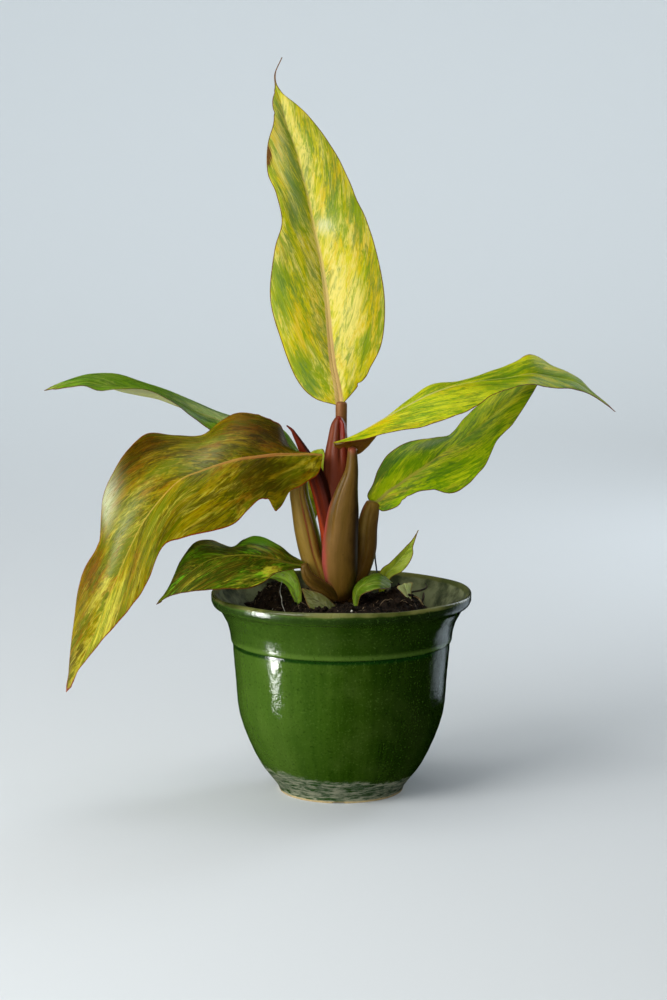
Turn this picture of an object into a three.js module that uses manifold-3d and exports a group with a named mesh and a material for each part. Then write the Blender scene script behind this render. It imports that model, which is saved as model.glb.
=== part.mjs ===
// A potted orange marmalade philodendron: a young variegated plant with six large leaves on stout
// petioles, in a glazed pot full of soil. Millimetres, +Z up. The origin is on the pot's axis, in the
// plane that its foot ring stands on, and +Y points away from the side that the plant shows.
import * as THREE from 'three';
import { ConvexGeometry } from 'three/addons/geometries/ConvexGeometry.js';
import { mergeVertices } from 'three/addons/utils/BufferGeometryUtils.js';
import Module from 'manifold-3d';

const wasm = await Module();
wasm.setup();

// Driving dimensions
const POT_HEIGHT = 140;
const RIM_RADIUS = 90; // outside of the lip
const LIP = 3.8; // thickness of the rounded lip
const FOOT_RADIUS = 43; // outside of the foot ring
const FOOT_INNER = 37;
const FOOT_RECESS = 4.5; // height of the hollow inside the foot ring
const FLOOR_TOP = 11; // inside floor of the pot
const DRAIN_RADIUS = 8;
const NOTCH_WIDTH = 7; // drain notches through the foot ring
const NOTCH_HEIGHT = 2.5;
const NOTCH_ANGLES = [-92, 28, 148]; // degrees, the first one at the front
const SOIL_LEVEL = 131.5; // at the stem
const SOIL_EDGE = 115; // where the soil meets the wall
const BLADE = 1.1; // thickness of a large blade
const RIB = 2.4; // extra depth of a large midrib under the blade at its base
const NARROW = 5; // stations past the last one of this width, towards the tip, keep its direction
const LEAST_HALF = 0.9; // half width of a blade's finest tip
const GAP = 0.35; // clearance between pieces that touch
const ROUND = 36; // facets round the pot

const material = (color, roughness) => new THREE.MeshStandardMaterial({ color, roughness, metalness: 0 });
const vec = (p) => new THREE.Vector3(...p);
const curve = (points) => new THREE.CatmullRomCurve3(points.map(vec), false, 'catmullrom', 0.5);
const smooth = (low, high, value) => THREE.MathUtils.smoothstep(value, low, high);

const plant = new THREE.Group();

function add(name, geometry, color, roughness) {
  const mesh = new THREE.Mesh(geometry, material(color, roughness));
  mesh.name = name;
  plant.add(mesh);
}

// Solids and geometries

function toSolid(geometry) {
  const bare = geometry.clone();
  bare.deleteAttribute('normal');
  bare.deleteAttribute('uv');
  const merged = mergeVertices(bare, 1e-4);
  return new wasm.Manifold(
    new wasm.Mesh({
      numProp: 3,
      vertProperties: new Float32Array(merged.attributes.position.array),
      triVerts: new Uint32Array(merged.index.array),
    }),
  );
}

function toGeometry(solid) {
  const mesh = solid.getMesh();
  const geometry = new THREE.BufferGeometry();
  geometry.setAttribute('position', new THREE.BufferAttribute(mesh.vertProperties, 3));
  geometry.setIndex(new THREE.BufferAttribute(mesh.triVerts, 1));
  geometry.computeVertexNormals();
  return geometry;
}

// A thin piece and the room round it: the piece moved by the gap both ways along each axis, joined.
const NUDGES = [-GAP, GAP].flatMap((step) => [[step, 0, 0], [0, step, 0], [0, 0, step]]);

function roomRound(geometry) {
  const moved = NUDGES.map((nudge) => geometry.clone().translate(...nudge));
  return wasm.Manifold.union([geometry, ...moved].map(toSolid));
}

// The plain hole that the foot of a blade stands in: the hull of its part below a height, with its room.
function plainHole(geometry, below) {
  const points = [];
  const { position } = geometry.attributes;
  for (let i = 0; i < position.count; i += 1) {
    const point = new THREE.Vector3().fromBufferAttribute(position, i);
    if (point.z < below) {
      points.push(...NUDGES.map((nudge) => point.clone().add(vec(nudge))));
    }
  }
  return toSolid(new ConvexGeometry(points));
}

// What is left of a piece once its neighbours have their room: its largest body.
function carve(geometry, neighbours) {
  let solid = toSolid(geometry);
  for (const neighbour of neighbours) {
    solid = solid.subtract(neighbour);
  }
  const bodies = solid.decompose().sort((a, b) => b.volume() - a.volume());
  return toGeometry(bodies[0]);
}

// Closes a grid of top points and a grid of bottom points, alike in rows and columns, into one skin.
// Both faces are split along the same diagonals.
function closeGrids(top, bottom) {
  const rows = top.length;
  const columns = top[0].length;
  const positions = [...top.flat(), ...bottom.flat()].flatMap((p) => [p.x, p.y, p.z]);
  const under = rows * columns;
  const at = (row, column) => row * columns + column;
  const index = [];
  for (let i = 0; i < rows - 1; i += 1) {
    for (let j = 0; j < columns - 1; j += 1) {
      const [a, b, c, d] = [at(i, j), at(i, j + 1), at(i + 1, j + 1), at(i + 1, j)];
      index.push(a, b, c, a, c, d);
      index.push(under + a, under + c, under + b, under + a, under + d, under + c);
    }
  }
  const wall = (a, b) => index.push(b, under + b, under + a, b, under + a, a);
  for (let i = 0; i < rows - 1; i += 1) {
    wall(at(i, 0), at(i + 1, 0));
    wall(at(i + 1, columns - 1), at(i, columns - 1));
  }
  for (let j = 0; j < columns - 1; j += 1) {
    wall(at(0, j + 1), at(0, j));
    wall(at(rows - 1, j), at(rows - 1, j + 1));
  }
  const geometry = new THREE.BufferGeometry();
  geometry.setAttribute('position', new THREE.Float32BufferAttribute(positions, 3));
  geometry.setIndex(index);
  return geometry;
}

// A blade stretched between its midrib and its two margins. Station k of the three curves lies on one
// pair of side veins. `arch` lifts each half between rib and margin, as a share of its width.
function blade(leaf) {
  const { rib, left, right, arch = 0.08, thick = BLADE, ribDepth = RIB, across = 3, finer = 2 } = leaf;
  const [ribCurve, leftCurve, rightCurve] = [rib, left, right].map(curve);
  const rows = (rib.length - 1) * finer;
  const stations = Array.from({ length: rows + 1 }, (unused, row) => {
    const edges = [leftCurve.getPoint(row / rows), rightCurve.getPoint(row / rows)];
    const span = edges[1].clone().sub(edges[0]);
    return { row, edges, span, middle: ribCurve.getPoint(row / rows), along: ribCurve.getTangent(row / rows) };
  });
  const lastBroad = stations.findLast(({ span }) => span.length() > NARROW);
  const points = stations.map(({ row, edges, span, middle, along }) => {
    const side = (row > lastBroad.row ? lastBroad.span : span).clone().normalize();
    if (row > lastBroad.row) {
      side.addScaledVector(along, -side.dot(along)).normalize();
      const half = Math.max(span.length() / 2, LEAST_HALF);
      edges[0] = middle.clone().addScaledVector(side, -half);
      edges[1] = middle.clone().addScaledVector(side, half);
    }
    const up = side.clone().cross(along).normalize();
    return Array.from({ length: 2 * across + 1 }, (unused, j) => {
      const out = Math.abs(j - across) / across;
      const edge = j < across ? edges[0] : edges[1];
      const point = middle.clone().lerp(edge, out);
      return point.addScaledVector(up, 4 * out * (1 - out) * arch * edge.distanceTo(middle));
    });
  });
  const last = points[0].length - 1;
  const top = [];
  const bottom = [];
  points.forEach((row, i) => {
    const before = points[Math.max(i - 1, 0)];
    const after = points[Math.min(i + 1, rows)];
    const upper = [];
    const lower = [];
    const spread = row[last].clone().sub(row[0]);
    const flat = spread.clone().cross(after[across].clone().sub(before[across])).normalize();
    const fullness = smooth(2, 16, spread.length()); // a narrow station is flat and has no rib
    row.forEach((p, j) => {
      const down = after[j].clone().sub(before[j]);
      const over = row[Math.min(j + 1, last)].clone().sub(row[Math.max(j - 1, 0)]);
      const normal = over.cross(down).normalize().lerp(flat, 1 - fullness).normalize();
      const bulge = j === across ? ribDepth * (1 - 0.85 * (i / rows)) * fullness : 0;
      upper.push(p.clone());
      lower.push(p.clone().addScaledVector(normal, -thick - bulge));
    });
    top.push(upper);
    bottom.push(lower);
  });
  return closeGrids(top, bottom);
}

// A fleshy stalk: an oval section swept along a curve, with flat ends. `wide` is its half width across
// the path and `deep` its half depth, one of each for every point of the path.
function stalk({ path, wide, deep, sides = 12, finer = 1 }, grow = 0) {
  const spine = curve(path);
  const size = curve(path.map((point, k) => [wide[k], deep[k], 0]));
  const steps = (path.length - 1) * finer;
  const positions = [];
  const index = [];
  for (let i = 0; i <= steps; i += 1) {
    const along = spine.getTangent(i / steps);
    const middle = spine.getPoint(i / steps);
    if (grow > 0 && (i === 0 || i === steps)) {
      middle.addScaledVector(along, i === 0 ? -grow : grow);
    }
    const { x: halfWidth, y: halfDepth } = size.getPoint(i / steps);
    const out = new THREE.Vector3(0, 1, 0).cross(along).normalize();
    const back = along.clone().cross(out);
    for (let j = 0; j < sides; j += 1) {
      const angle = (j / sides) * 2 * Math.PI;
      const point = middle.clone();
      point.addScaledVector(out, Math.cos(angle) * (halfWidth + grow));
      point.addScaledVector(back, Math.sin(angle) * (halfDepth + grow));
      positions.push(point.x, point.y, point.z);
    }
  }
  for (let i = 0; i < steps; i += 1) {
    for (let j = 0; j < sides; j += 1) {
      const [a, b] = [i * sides + j, i * sides + ((j + 1) % sides)];
      index.push(a, b, b + sides, a, b + sides, a + sides);
    }
  }
  const end = steps * sides;
  for (let j = 1; j < sides - 1; j += 1) {
    index.push(0, j + 1, j);
    index.push(end, end + j, end + j + 1);
  }
  const geometry = new THREE.BufferGeometry();
  geometry.setAttribute('position', new THREE.Float32BufferAttribute(positions, 3));
  geometry.setIndex(index);
  return geometry;
}

// Pot: a thrown vessel turned about its axis, its foot ring notched for drainage

const outside = [
  [FOOT_RADIUS, 0],
  [44.6, 4],
  [49.6, 10.6],
  [55.5, 18.3],
  [61.7, 29.8],
  [68.1, 45.5],
  [71.7, 60],
  [73.6, 82],
  [75.4, 103.6],
  [75.2, 105],
  [76.5, 106.4],
  [78.2, 116],
  [81.2, 123.4],
  [84.6, 129],
  [88.2, 131.8],
  [89.8, 134.6],
];
const inside = [
  [84.6, 134.6],
  [76.5, 123.4],
  [72, 110],
  [69.2, 90],
  [66.6, 64],
  [61, 44],
  [50, 26],
  [36, 14],
  [24, FLOOR_TOP],
];
const lipArc = [0, 60, 120, 180].map((degrees) => {
  const angle = THREE.MathUtils.degToRad(degrees);
  const half = LIP / 2;
  return [RIM_RADIUS - half + half * Math.cos(angle), POT_HEIGHT - half + half * Math.sin(angle)];
});
const profile = [
  ...outside,
  ...lipArc,
  ...inside,
  [DRAIN_RADIUS, FLOOR_TOP],
  [DRAIN_RADIUS, FOOT_RECESS],
  [FOOT_INNER - 1.5, FOOT_RECESS],
  [FOOT_INNER, 0],
  outside[0],
].map(([r, z]) => new THREE.Vector2(r, z));

function turned(points) {
  const geometry = new THREE.LatheGeometry(points, ROUND);
  return geometry.rotateX(Math.PI / 2);
}

let vessel = toSolid(turned(profile));
for (const degrees of NOTCH_ANGLES) {
  const notch = new THREE.BoxGeometry(FOOT_RADIUS - FOOT_INNER + 8, NOTCH_WIDTH, NOTCH_HEIGHT * 2);
  notch.translate((FOOT_RADIUS + FOOT_INNER) / 2, 0, 0);
  notch.rotateZ(THREE.MathUtils.degToRad(degrees));
  vessel = vessel.subtract(toSolid(notch));
}
add('pot', toGeometry(vessel), 0x3f5c1c, 0.15);

// Stem, petioles and sheaths, from the foot of each upwards or from its joint down

const stem = {
  path: [[0, 1, 146], [0, 1, 128], [-0.5, 0, 95], [-1, 0, 62]],
  wide: [6, 8.5, 9, 5],
  deep: [6, 7.5, 8.5, 5],
  finer: 2,
};
const petioleRightUpper = {
  path: [[7.5, -13, 242], [7, -13, 226], [4, -12.5, 212], [1.5, -12, 198], [0, -11, 183], [-1, -10, 170],
    [-1, -8, 154], [-1, -6, 143], [0, -4, 135]],
  wide: [3, 4.5, 7.5, 10.5, 11.5, 12, 11, 7.5, 5.5],
  deep: [3.5, 5, 7, 8.5, 9, 9, 8.5, 7.5, 6],
};
const petioleRightLower = {
  path: [[22.5, 5, 202], [20, 5, 194], [18, 5, 183], [17, 4, 168], [12.5, 3, 153], [6, 1, 140], [2.5, 0, 132]],
  wide: [2, 5, 7, 7, 6.5, 5, 4],
  deep: [3, 4.5, 6, 6.5, 6.5, 6, 5],
};
const petioleLeftFront = {
  path: [[-28, -19, 240], [-30, -15, 223], [-30, -11, 209], [-28, -9, 197], [-25, -8, 182], [-21, -7, 165],
    [-14.5, -6, 148], [-7, -4, 136]],
  wide: [2.5, 4, 5, 6, 7, 7, 6.5, 5],
  deep: [3, 4.5, 5.5, 6.5, 7, 7, 6.5, 5.5],
};
const petioleLeftBack = {
  path: [[-26.5, 6, 234], [-27, 6, 219], [-26.5, 6, 207], [-23, 6, 192], [-19.5, 5, 177], [-14, 4, 159],
    [-8, 2, 143], [-4.5, 1, 135]],
  wide: [2.5, 3.5, 4, 4.5, 5, 5, 5, 4],
  deep: [3, 4, 4.5, 5, 5, 5.5, 5.5, 5],
};
const petioleBack = {
  path: [[-20, 14, 184.6], [-16, 13, 168], [-10.5, 9, 149], [-4.5, 5, 135]],
  wide: [2, 3.5, 4, 4],
  deep: [2.5, 4, 5, 5],
  finer: 2,
};
const petioleLowLeft = {
  path: [[-26, -23, 163], [-23, -22.5, 154], [-17.5, -19, 148], [-10, -14, 142], [-4.5, -8, 137]],
  wide: [2.5, 4, 5, 5, 4],
  deep: [3, 4, 4.5, 5, 5],
  finer: 2,
};
const petioleTop = {
  path: [[0, 9, 271], [0, 9, 247], [0.5, 9, 216], [0.5, 7, 174], [0, 4, 133]],
  wide: [4, 4, 4.5, 5, 5],
  deep: [4, 4, 4.5, 5, 5],
  finer: 2,
};
const sheathNew = {
  path: [[-2, -3, 262], [-2, -3, 256], [-2.5, -3, 245], [-3, -3, 231], [-3.5, -3, 214], [-3.5, -3, 193],
    [-3, -3, 162], [-2.5, -3, 139]],
  wide: [1.5, 5, 7, 9, 9, 8, 7, 5.5],
  deep: [2, 4.5, 6, 7, 7, 7, 6, 6],
};
const sheathOld = {
  path: [[-37.5, -9, 256], [-34, -9, 253], [-32, -9, 250], [-25, -8, 237], [-17, -8, 220], [-12, -8, 201],
    [-8.5, -7, 177], [-7, -6, 155], [-3.5, -5, 140]],
  wide: [0.5, 1, 1.5, 3.5, 6, 6, 5.5, 5.5, 5],
  deep: [0.5, 1, 1.5, 3, 4, 5, 6, 6, 6],
};

// Blades

const leafTop = {
  rib: [[-1, 8, 268], [-3, 11, 282], [-6, 14, 297], [-8, 18, 316], [-10, 23, 338], [-14, 28, 366],
    [-19, 33, 389], [-22, 37, 405], [-26, 41, 422], [-31, 46, 441], [-38, 51, 460], [-42, 55, 475],
    [-45, 57, 485], [-46, 56, 495], [-41, 50, 506]],
  left: [[-3, 7, 268], [-19, 7, 273], [-31, 6, 286], [-41, 5, 311], [-49, 8, 341], [-46, 8, 374],
    [-41, 13, 393], [-45, 20, 412], [-51, 27, 427], [-51, 33, 446], [-47, 42, 462], [-48, 51, 476],
    [-46, 56, 485], [-47, 56, 495], [-41, 50, 506]],
  right: [[1, 7, 269], [10, 8, 279], [19, 8, 292], [28, 8, 311], [30, 11, 340], [25, 16, 370],
    [18, 22, 393], [11, 28, 408], [5, 34, 423], [-5, 40, 442], [-19, 47, 462], [-30, 52, 473],
    [-43, 56, 484], [-46, 56, 495], [-41, 50, 506]],
};
const leafRightUpper = {
  rib: [[-5, -16, 245], [4, -16, 248], [15, -13, 253], [28, -8, 260], [42, 0, 267], [62, 10, 276],
    [80, 20, 281], [98, 31, 283], [117, 43, 284], [134, 54, 286], [150, 65, 283], [168, 74, 278],
    [180, 80, 270], [191, 82, 262], [198, 83, 256]],
  left: [[-5, -10, 242], [1, -5, 237], [13, -1, 236], [30, 8, 254], [45, 20, 269], [63, 34, 280],
    [85, 44, 281], [105, 55, 287], [122, 65, 293], [136, 74, 298], [152, 80, 290], [170, 83, 281],
    [181, 82, 271], [191, 83, 263], [198, 83, 256]],
  right: [[-6, -20, 245], [4, -28, 247], [19, -32, 250], [36, -30, 254], [56, -24, 257], [78, -14, 263],
    [93, -4, 269], [106, 8, 276], [120, 22, 279], [134, 36, 280], [150, 50, 276], [166, 64, 274],
    [179, 77, 269], [190, 81, 262], [198, 83, 256]],
};
const leafRightLower = {
  rib: [[22, 5, 200], [27, 7, 203], [33, 10, 208], [40, 14, 212], [49, 19, 218], [59, 25, 224],
    [70, 32, 231], [82, 39, 238], [95, 47, 247], [108, 55, 257], [121, 63, 268], [133, 71, 276],
    [143, 78, 280]],
  left: [[21, 6, 200], [18, 9, 205], [22, 14, 213], [26, 20, 223], [34, 27, 233], [48, 36, 240],
    [63, 46, 241], [77, 54, 243], [87, 60, 253], [98, 66, 263], [113, 72, 272], [129, 77, 278],
    [143, 78, 280]],
  right: [[24, 4, 198], [29, 3, 195], [38, 3, 198], [45, 5, 204], [54, 8, 208], [64, 10, 209],
    [76, 13, 206], [89, 20, 212], [101, 29, 225], [110, 40, 240], [122, 52, 251], [135, 66, 268],
    [143, 77, 280]],
};
const leafLeftFront = {
  rib: [[-13, -14, 237], [-22, -18, 238], [-33, -22, 238], [-45, -26, 238], [-57, -30, 237],
    [-68, -34, 236], [-81, -38, 233], [-94, -43, 229], [-107, -48, 224], [-119, -54, 213],
    [-131, -60, 198], [-140, -65, 181], [-148, -69, 163], [-156, -71, 145], [-164, -73, 124],
    [-173, -75, 106], [-180, -76, 92], [-183, -76, 85]],
  left: [[-13, -17, 234], [-16, -22, 224], [-27, -29, 217], [-43, -38, 202], [-53, -43, 210],
    [-63, -50, 203], [-73, -55, 194], [-89, -61, 190], [-106, -66, 187], [-118, -71, 182],
    [-126, -76, 164], [-133, -79, 151], [-142, -80, 139], [-153, -81, 127], [-165, -80, 112],
    [-174, -78.5, 101], [-178.5, -77, 91], [-183, -76, 85]],
  right: [[-13, -10, 235], [-24, -8, 236], [-35, -2, 239], [-42, 6, 253], [-56, 10, 261], [-70, 10, 263],
    [-82, 6, 258], [-95, 0, 249], [-113, -6, 249], [-133, -12, 250], [-149, -24, 235], [-160, -36, 212],
    [-162, -46, 189], [-164, -54, 176], [-174, -61, 159], [-178, -68, 132], [-181.5, -74, 98],
    [-183, -76, 85]],
};
const leafLeftBack = {
  rib: [[-26, 6, 230], [-38, 9, 238], [-55, 16, 246], [-70, 20, 251], [-86, 20, 257], [-101, 16, 263],
    [-114, 10, 269], [-126, 5, 274], [-138, -1, 277], [-150, -6, 280], [-161, -11, 284], [-172, -15, 287],
    [-182, -18, 286], [-192, -20, 284], [-201, -22, 281]],
  left: [[-26, 2, 229], [-36, 0, 229], [-53, -2, 234], [-73, 4, 240], [-92, 7, 252], [-103, -3, 262],
    [-114, -14, 272], [-127, -23, 280], [-138, -29, 283], [-151, -32, 283], [-163, -34, 282],
    [-173, -33, 285], [-183, -29, 284], [-193, -24, 282], [-201, -22, 281]],
  right: [[-27, 10, 233], [-40, 26, 249], [-54, 42, 252], [-69, 50, 254], [-84, 51, 258], [-100, 48, 265],
    [-115, 43, 272], [-128, 37, 278], [-140, 29, 283], [-152, 21, 288], [-164, 12, 290], [-174, 3, 290],
    [-184, -8, 288], [-193, -17, 285], [-201, -22, 281]],
};
const leafLowLeft = {
  rib: [[-22, -20, 161], [-33, -25, 163], [-44, -30, 167], [-55, -36, 170], [-66, -42, 172],
    [-78, -48, 172], [-89, -53, 170], [-98, -58, 165], [-107, -62, 158], [-115, -66, 150],
    [-123, -70, 143]],
  left: [[-23, -22, 160], [-34, -31, 160], [-44, -40, 159], [-54, -48, 153], [-65, -56, 151],
    [-78, -62, 152], [-89, -66, 152], [-101, -68, 151], [-109, -69, 150], [-117, -69, 147],
    [-123, -70, 143]],
  right: [[-23, -18, 162], [-32, -13, 166], [-44, -10, 174], [-57, -10, 180], [-67, -14, 178],
    [-75, -20, 174], [-88, -30, 180], [-99, -40, 180], [-108, -50, 169], [-115, -60, 154],
    [-123, -70, 143]],
};
const leafBack = {
  rib: [[-20, 14, 184], [-23, 22, 200], [-25, 36, 215], [-26, 52, 224], [-25, 68, 226], [-24, 80, 225]],
  left: [[-21, 13, 184], [-32, 20, 189], [-36, 32, 201], [-35, 48, 213], [-32, 66, 222], [-24, 80, 225]],
  right: [[-19, 15, 184], [-16, 22, 193], [-13, 32, 206], [-11, 46, 221], [-13, 64, 231], [-24, 80, 225]],
  finer: 3,
};
const small = { thick: 0.9, ribDepth: 0.8, across: 3 };
const shootLeft = {
  ...small,
  rib: [[-29, -18, 128], [-31, -19, 137], [-33, -20, 145], [-39, -20, 151], [-49, -18, 153]],
  left: [[-30, -18, 128], [-33, -22, 138], [-38, -25, 148], [-44, -24, 151], [-50, -18, 152]],
  right: [[-28, -17, 129], [-27, -15, 140], [-30, -13, 152], [-35, -12, 158], [-48, -16, 155]],
};
const shootArched = {
  ...small,
  rib: [[9, -17, 132], [11, -17, 143], [18, -17, 149], [26, -15, 151], [34, -12, 147]],
  left: [[8, -15, 133], [8, -9, 143], [15, -7, 150], [26, -5, 153], [37, -10, 146]],
  right: [[11, -19, 131], [13, -24, 140], [19, -26, 144], [26, -24, 145], [35, -14, 144]],
};
const shootUpright = {
  ...small,
  rib: [[28, 16, 129], [30, 18, 146], [36, 19, 153], [43, 20, 161], [49, 21, 169], [54, 22, 179]],
  left: [[26, 16, 129], [27, 16, 150], [34, 16, 157], [41, 17, 164], [49, 19, 172], [54, 22, 179]],
  right: [[29, 16, 129], [34, 16, 145], [43, 16, 151], [49, 17, 159], [52, 19, 170], [54, 22, 179]],
};
const bractFront = {
  ...small,
  rib: [[-8, -22, 128], [-13, -25, 135], [-20, -27, 141], [-27, -27, 146]],
  left: [[-12, -26, 128], [-20, -30, 133], [-24, -30, 138], [-27, -28, 146]],
  right: [[-5, -20, 129], [-10, -21, 137], [-17, -24, 143], [-26, -27, 146]],
};
const bractRight = {
  ...small,
  rib: [[38, -10, 145], [42, -10, 145], [47, -11, 144], [47, -12, 133]],
  left: [[38, -9, 145], [43, -8, 147], [49, -9, 148], [50, -11, 134]],
  right: [[38, -12, 144], [41, -14, 143], [44, -14, 141], [45, -13, 133]],
};

// Soil: a lumpy bed that falls away to the wall

function soilHeight(x, y) {
  const radius = Math.hypot(x, y);
  const slope = (SOIL_LEVEL - SOIL_EDGE) * smooth(38, 74, radius);
  const mound = (cx, cy, height, spread) => height * Math.exp(-((x - cx) ** 2 + (y - cy) ** 2) / spread ** 2);
  const lumps = Math.sin(x * 0.33 + 1.4 * Math.sin(y * 0.19)) * Math.sin(y * 0.37 + Math.sin(x * 0.23));
  const clods = Math.sin(x * 0.71 + 2) * Math.sin(y * 0.63 + 1);
  const mounds = mound(-46, 12, 6, 24) + mound(40, 0, 7, 20);
  return SOIL_LEVEL - slope + mounds + (1.1 * lumps + 0.5 * clods) * smooth(10, 24, radius);
}

const SOIL_RINGS = 10;
const wallSide = inside.filter(([, z]) => z < SOIL_EDGE).map(([r, z]) => [r - 0.5, z + 0.4]);
const soilRadius = 72; // just inside the wall at the soil's edge
const soilTop = Array.from({ length: SOIL_RINGS }, (unused, k) => [soilRadius * (1 - (k + 1) / SOIL_RINGS), SOIL_EDGE]);
const soilProfile = [[0, FLOOR_TOP + 0.4], ...wallSide.reverse(), [soilRadius, SOIL_EDGE], ...soilTop];
const soil = turned(soilProfile.map(([r, z]) => new THREE.Vector2(r, z)));
const soilPoints = soil.attributes.position;
for (let i = 0; i < soilPoints.count; i += 1) {
  if (soilPoints.getZ(i) > SOIL_EDGE - 0.01) {
    soilPoints.setZ(i, soilHeight(soilPoints.getX(i), soilPoints.getY(i)));
  }
}

// Pieces that grow against each other: each later one leaves the earlier ones their room

const crown = [
  ['petiole_right_upper', petioleRightUpper, 0x6e5426],
  ['petiole_low_left', petioleLowLeft, 0x7a5a28],
  ['sheath_old', sheathOld, 0x6a1e10],
  ['petiole_left_front', petioleLeftFront, 0x84682c],
  ['petiole_right_lower', petioleRightLower, 0x6e5c26],
  ['sheath_new', sheathNew, 0x94503e],
  ['petiole_left_back', petioleLeftBack, 0x77692c],
  ['petiole_back', petioleBack, 0x6c7430],
  ['petiole_top', petioleTop, 0x7d5c38],
  ['stem', stem, 0x5a4220],
];
const foliage = [
  ['leaf_top', leafTop, 0xb7b93a],
  ['leaf_right_upper', leafRightUpper, 0xa9bd1c],
  ['leaf_right_lower', leafRightLower, 0x6f9a1e],
  ['leaf_left_front', leafLeftFront, 0x98901a],
  ['leaf_left_back', leafLeftBack, 0x4f8a24],
  ['leaf_low_left', leafLowLeft, 0x6f7a1c],
  ['leaf_back', leafBack, 0x6c9a2a],
  ['shoot_left', shootLeft, 0x5aa02c],
  ['shoot_arched', shootArched, 0x5e8e24],
  ['shoot_upright', shootUpright, 0x8bb03a],
  ['bract_front', bractFront, 0x8a9468],
  ['bract_right', bractRight, 0x9aa884],
];

const rooted = [shootLeft, shootArched, shootUpright, bractFront, bractRight];
const HOLE_MARGIN = 12; // how far a hole's sides reach above the soil level
const roomForLeaves = foliage.map(([, leaf]) => roomRound(blade(leaf)));
const roomForStalks = crown.map(([, piece]) => toSolid(stalk(piece, GAP)));
const holes = rooted.map((leaf) => plainHole(blade(leaf), SOIL_LEVEL + HOLE_MARGIN));

for (const [name, leaf, color] of foliage) {
  add(name, toGeometry(toSolid(blade(leaf))), color, 0.35);
}
crown.forEach(([name, piece, color], k) => {
  add(name, carve(stalk(piece), [...roomForLeaves, ...roomForStalks.slice(0, k)]), color, 0.4);
});
add('soil', carve(soil, [toSolid(stalk(stem, GAP)), ...holes]), 0x2a211a, 0.95);

export default plant;
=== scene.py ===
"""A potted orange marmalade philodendron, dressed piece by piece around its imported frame."""

import math
import random

import bmesh
import bpy
import numpy as np
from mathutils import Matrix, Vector, noise


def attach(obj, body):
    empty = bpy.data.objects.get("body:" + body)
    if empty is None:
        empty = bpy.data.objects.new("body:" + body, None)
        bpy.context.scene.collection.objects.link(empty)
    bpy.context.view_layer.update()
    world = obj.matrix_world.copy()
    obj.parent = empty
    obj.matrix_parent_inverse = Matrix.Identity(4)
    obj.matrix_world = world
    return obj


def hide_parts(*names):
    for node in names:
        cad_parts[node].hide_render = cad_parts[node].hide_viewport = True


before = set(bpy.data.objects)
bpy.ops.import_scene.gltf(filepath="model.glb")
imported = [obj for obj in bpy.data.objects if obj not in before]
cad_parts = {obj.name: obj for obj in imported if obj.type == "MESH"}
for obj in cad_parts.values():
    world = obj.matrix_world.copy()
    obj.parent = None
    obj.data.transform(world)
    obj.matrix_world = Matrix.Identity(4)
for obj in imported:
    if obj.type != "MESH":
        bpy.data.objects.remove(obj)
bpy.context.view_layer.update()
MM = 0.001


# Studio: a pale floor that rises into a pale cove all round, so that every side of the plant has the same
# plain ground. A broad window light stands at the left, with weaker lights behind, above and in front of
# the plant, and two small cards, low by the pot, make the long reflections in its glaze.

def tone(red, green, blue):
    """A colour picked on screen, from 0 to 255, as the linear colour that a shader wants."""
    shares = (red / 255, green / 255, blue / 255)
    return (*(c / 12.92 if c <= 0.04045 else ((c + 0.055) / 1.055) ** 2.4 for c in shares), 1.0)


class Nodes:
    """Places nodes in a material's or a group's tree. Each call returns the socket that a node puts out."""

    def __init__(self, tree):
        self.tree = tree

    def put(self, kind, inputs=None, out=0, **settings):
        made = self.tree.nodes.new(kind)
        for key, value in settings.items():
            setattr(made, key, value)
        for key, value in (inputs or {}).items():
            if isinstance(value, bpy.types.NodeSocket):
                self.tree.links.new(value, made.inputs[key])
            else:
                made.inputs[key].default_value = value
        return made.outputs[out]

    def maths(self, operation, *values):
        return self.put("ShaderNodeMath", dict(enumerate(values)), operation=operation)

    def plus(self, first, second):
        return self.maths("ADD", first, second)

    def minus(self, first, second):
        return self.maths("SUBTRACT", first, second)

    def times(self, first, second):
        return self.maths("MULTIPLY", first, second)

    def vectors(self, operation, first, second):
        return self.put("ShaderNodeVectorMath", {0: first, 1: second}, operation=operation)

    def step(self, value, low, high):
        """0 below low, 1 above high, and smooth between; the other way round where low is the higher."""
        return self.put("ShaderNodeMapRange", {0: value, 1: low, 2: high}, interpolation_type="SMOOTHSTEP")

    def blend(self, share, first, second):
        return self.put("ShaderNodeMix", {0: share, 6: first, 7: second}, out=2, data_type="RGBA")

    def wash(self, under, share, most, colour):
        """A colour laid over another one by its share, times the most that it covers."""
        return self.blend(self.times(share, most), under, colour)

    def scaled(self, vector, scale, shift=(0, 0, 0)):
        return self.put("ShaderNodeMapping", {"Vector": vector, "Scale": scale, "Location": shift})

    def grain(self, vector, scale=1.0, detail=3.0, roughness=0.55):
        sizes = {"Scale": scale, "Detail": detail, "Roughness": roughness}
        return self.put("ShaderNodeTexNoise", {"Vector": vector, **sizes})

    def place(self):
        return self.put("ShaderNodeTexCoord", out="Object")

    def share(self, label):
        """A number that the mesh holds at each vertex."""
        return self.put("ShaderNodeAttribute", out="Fac", attribute_name=label)

    def vector(self, label):
        """A vector that the mesh holds at each vertex."""
        return self.put("ShaderNodeAttribute", out="Vector", attribute_name=label)


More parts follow.
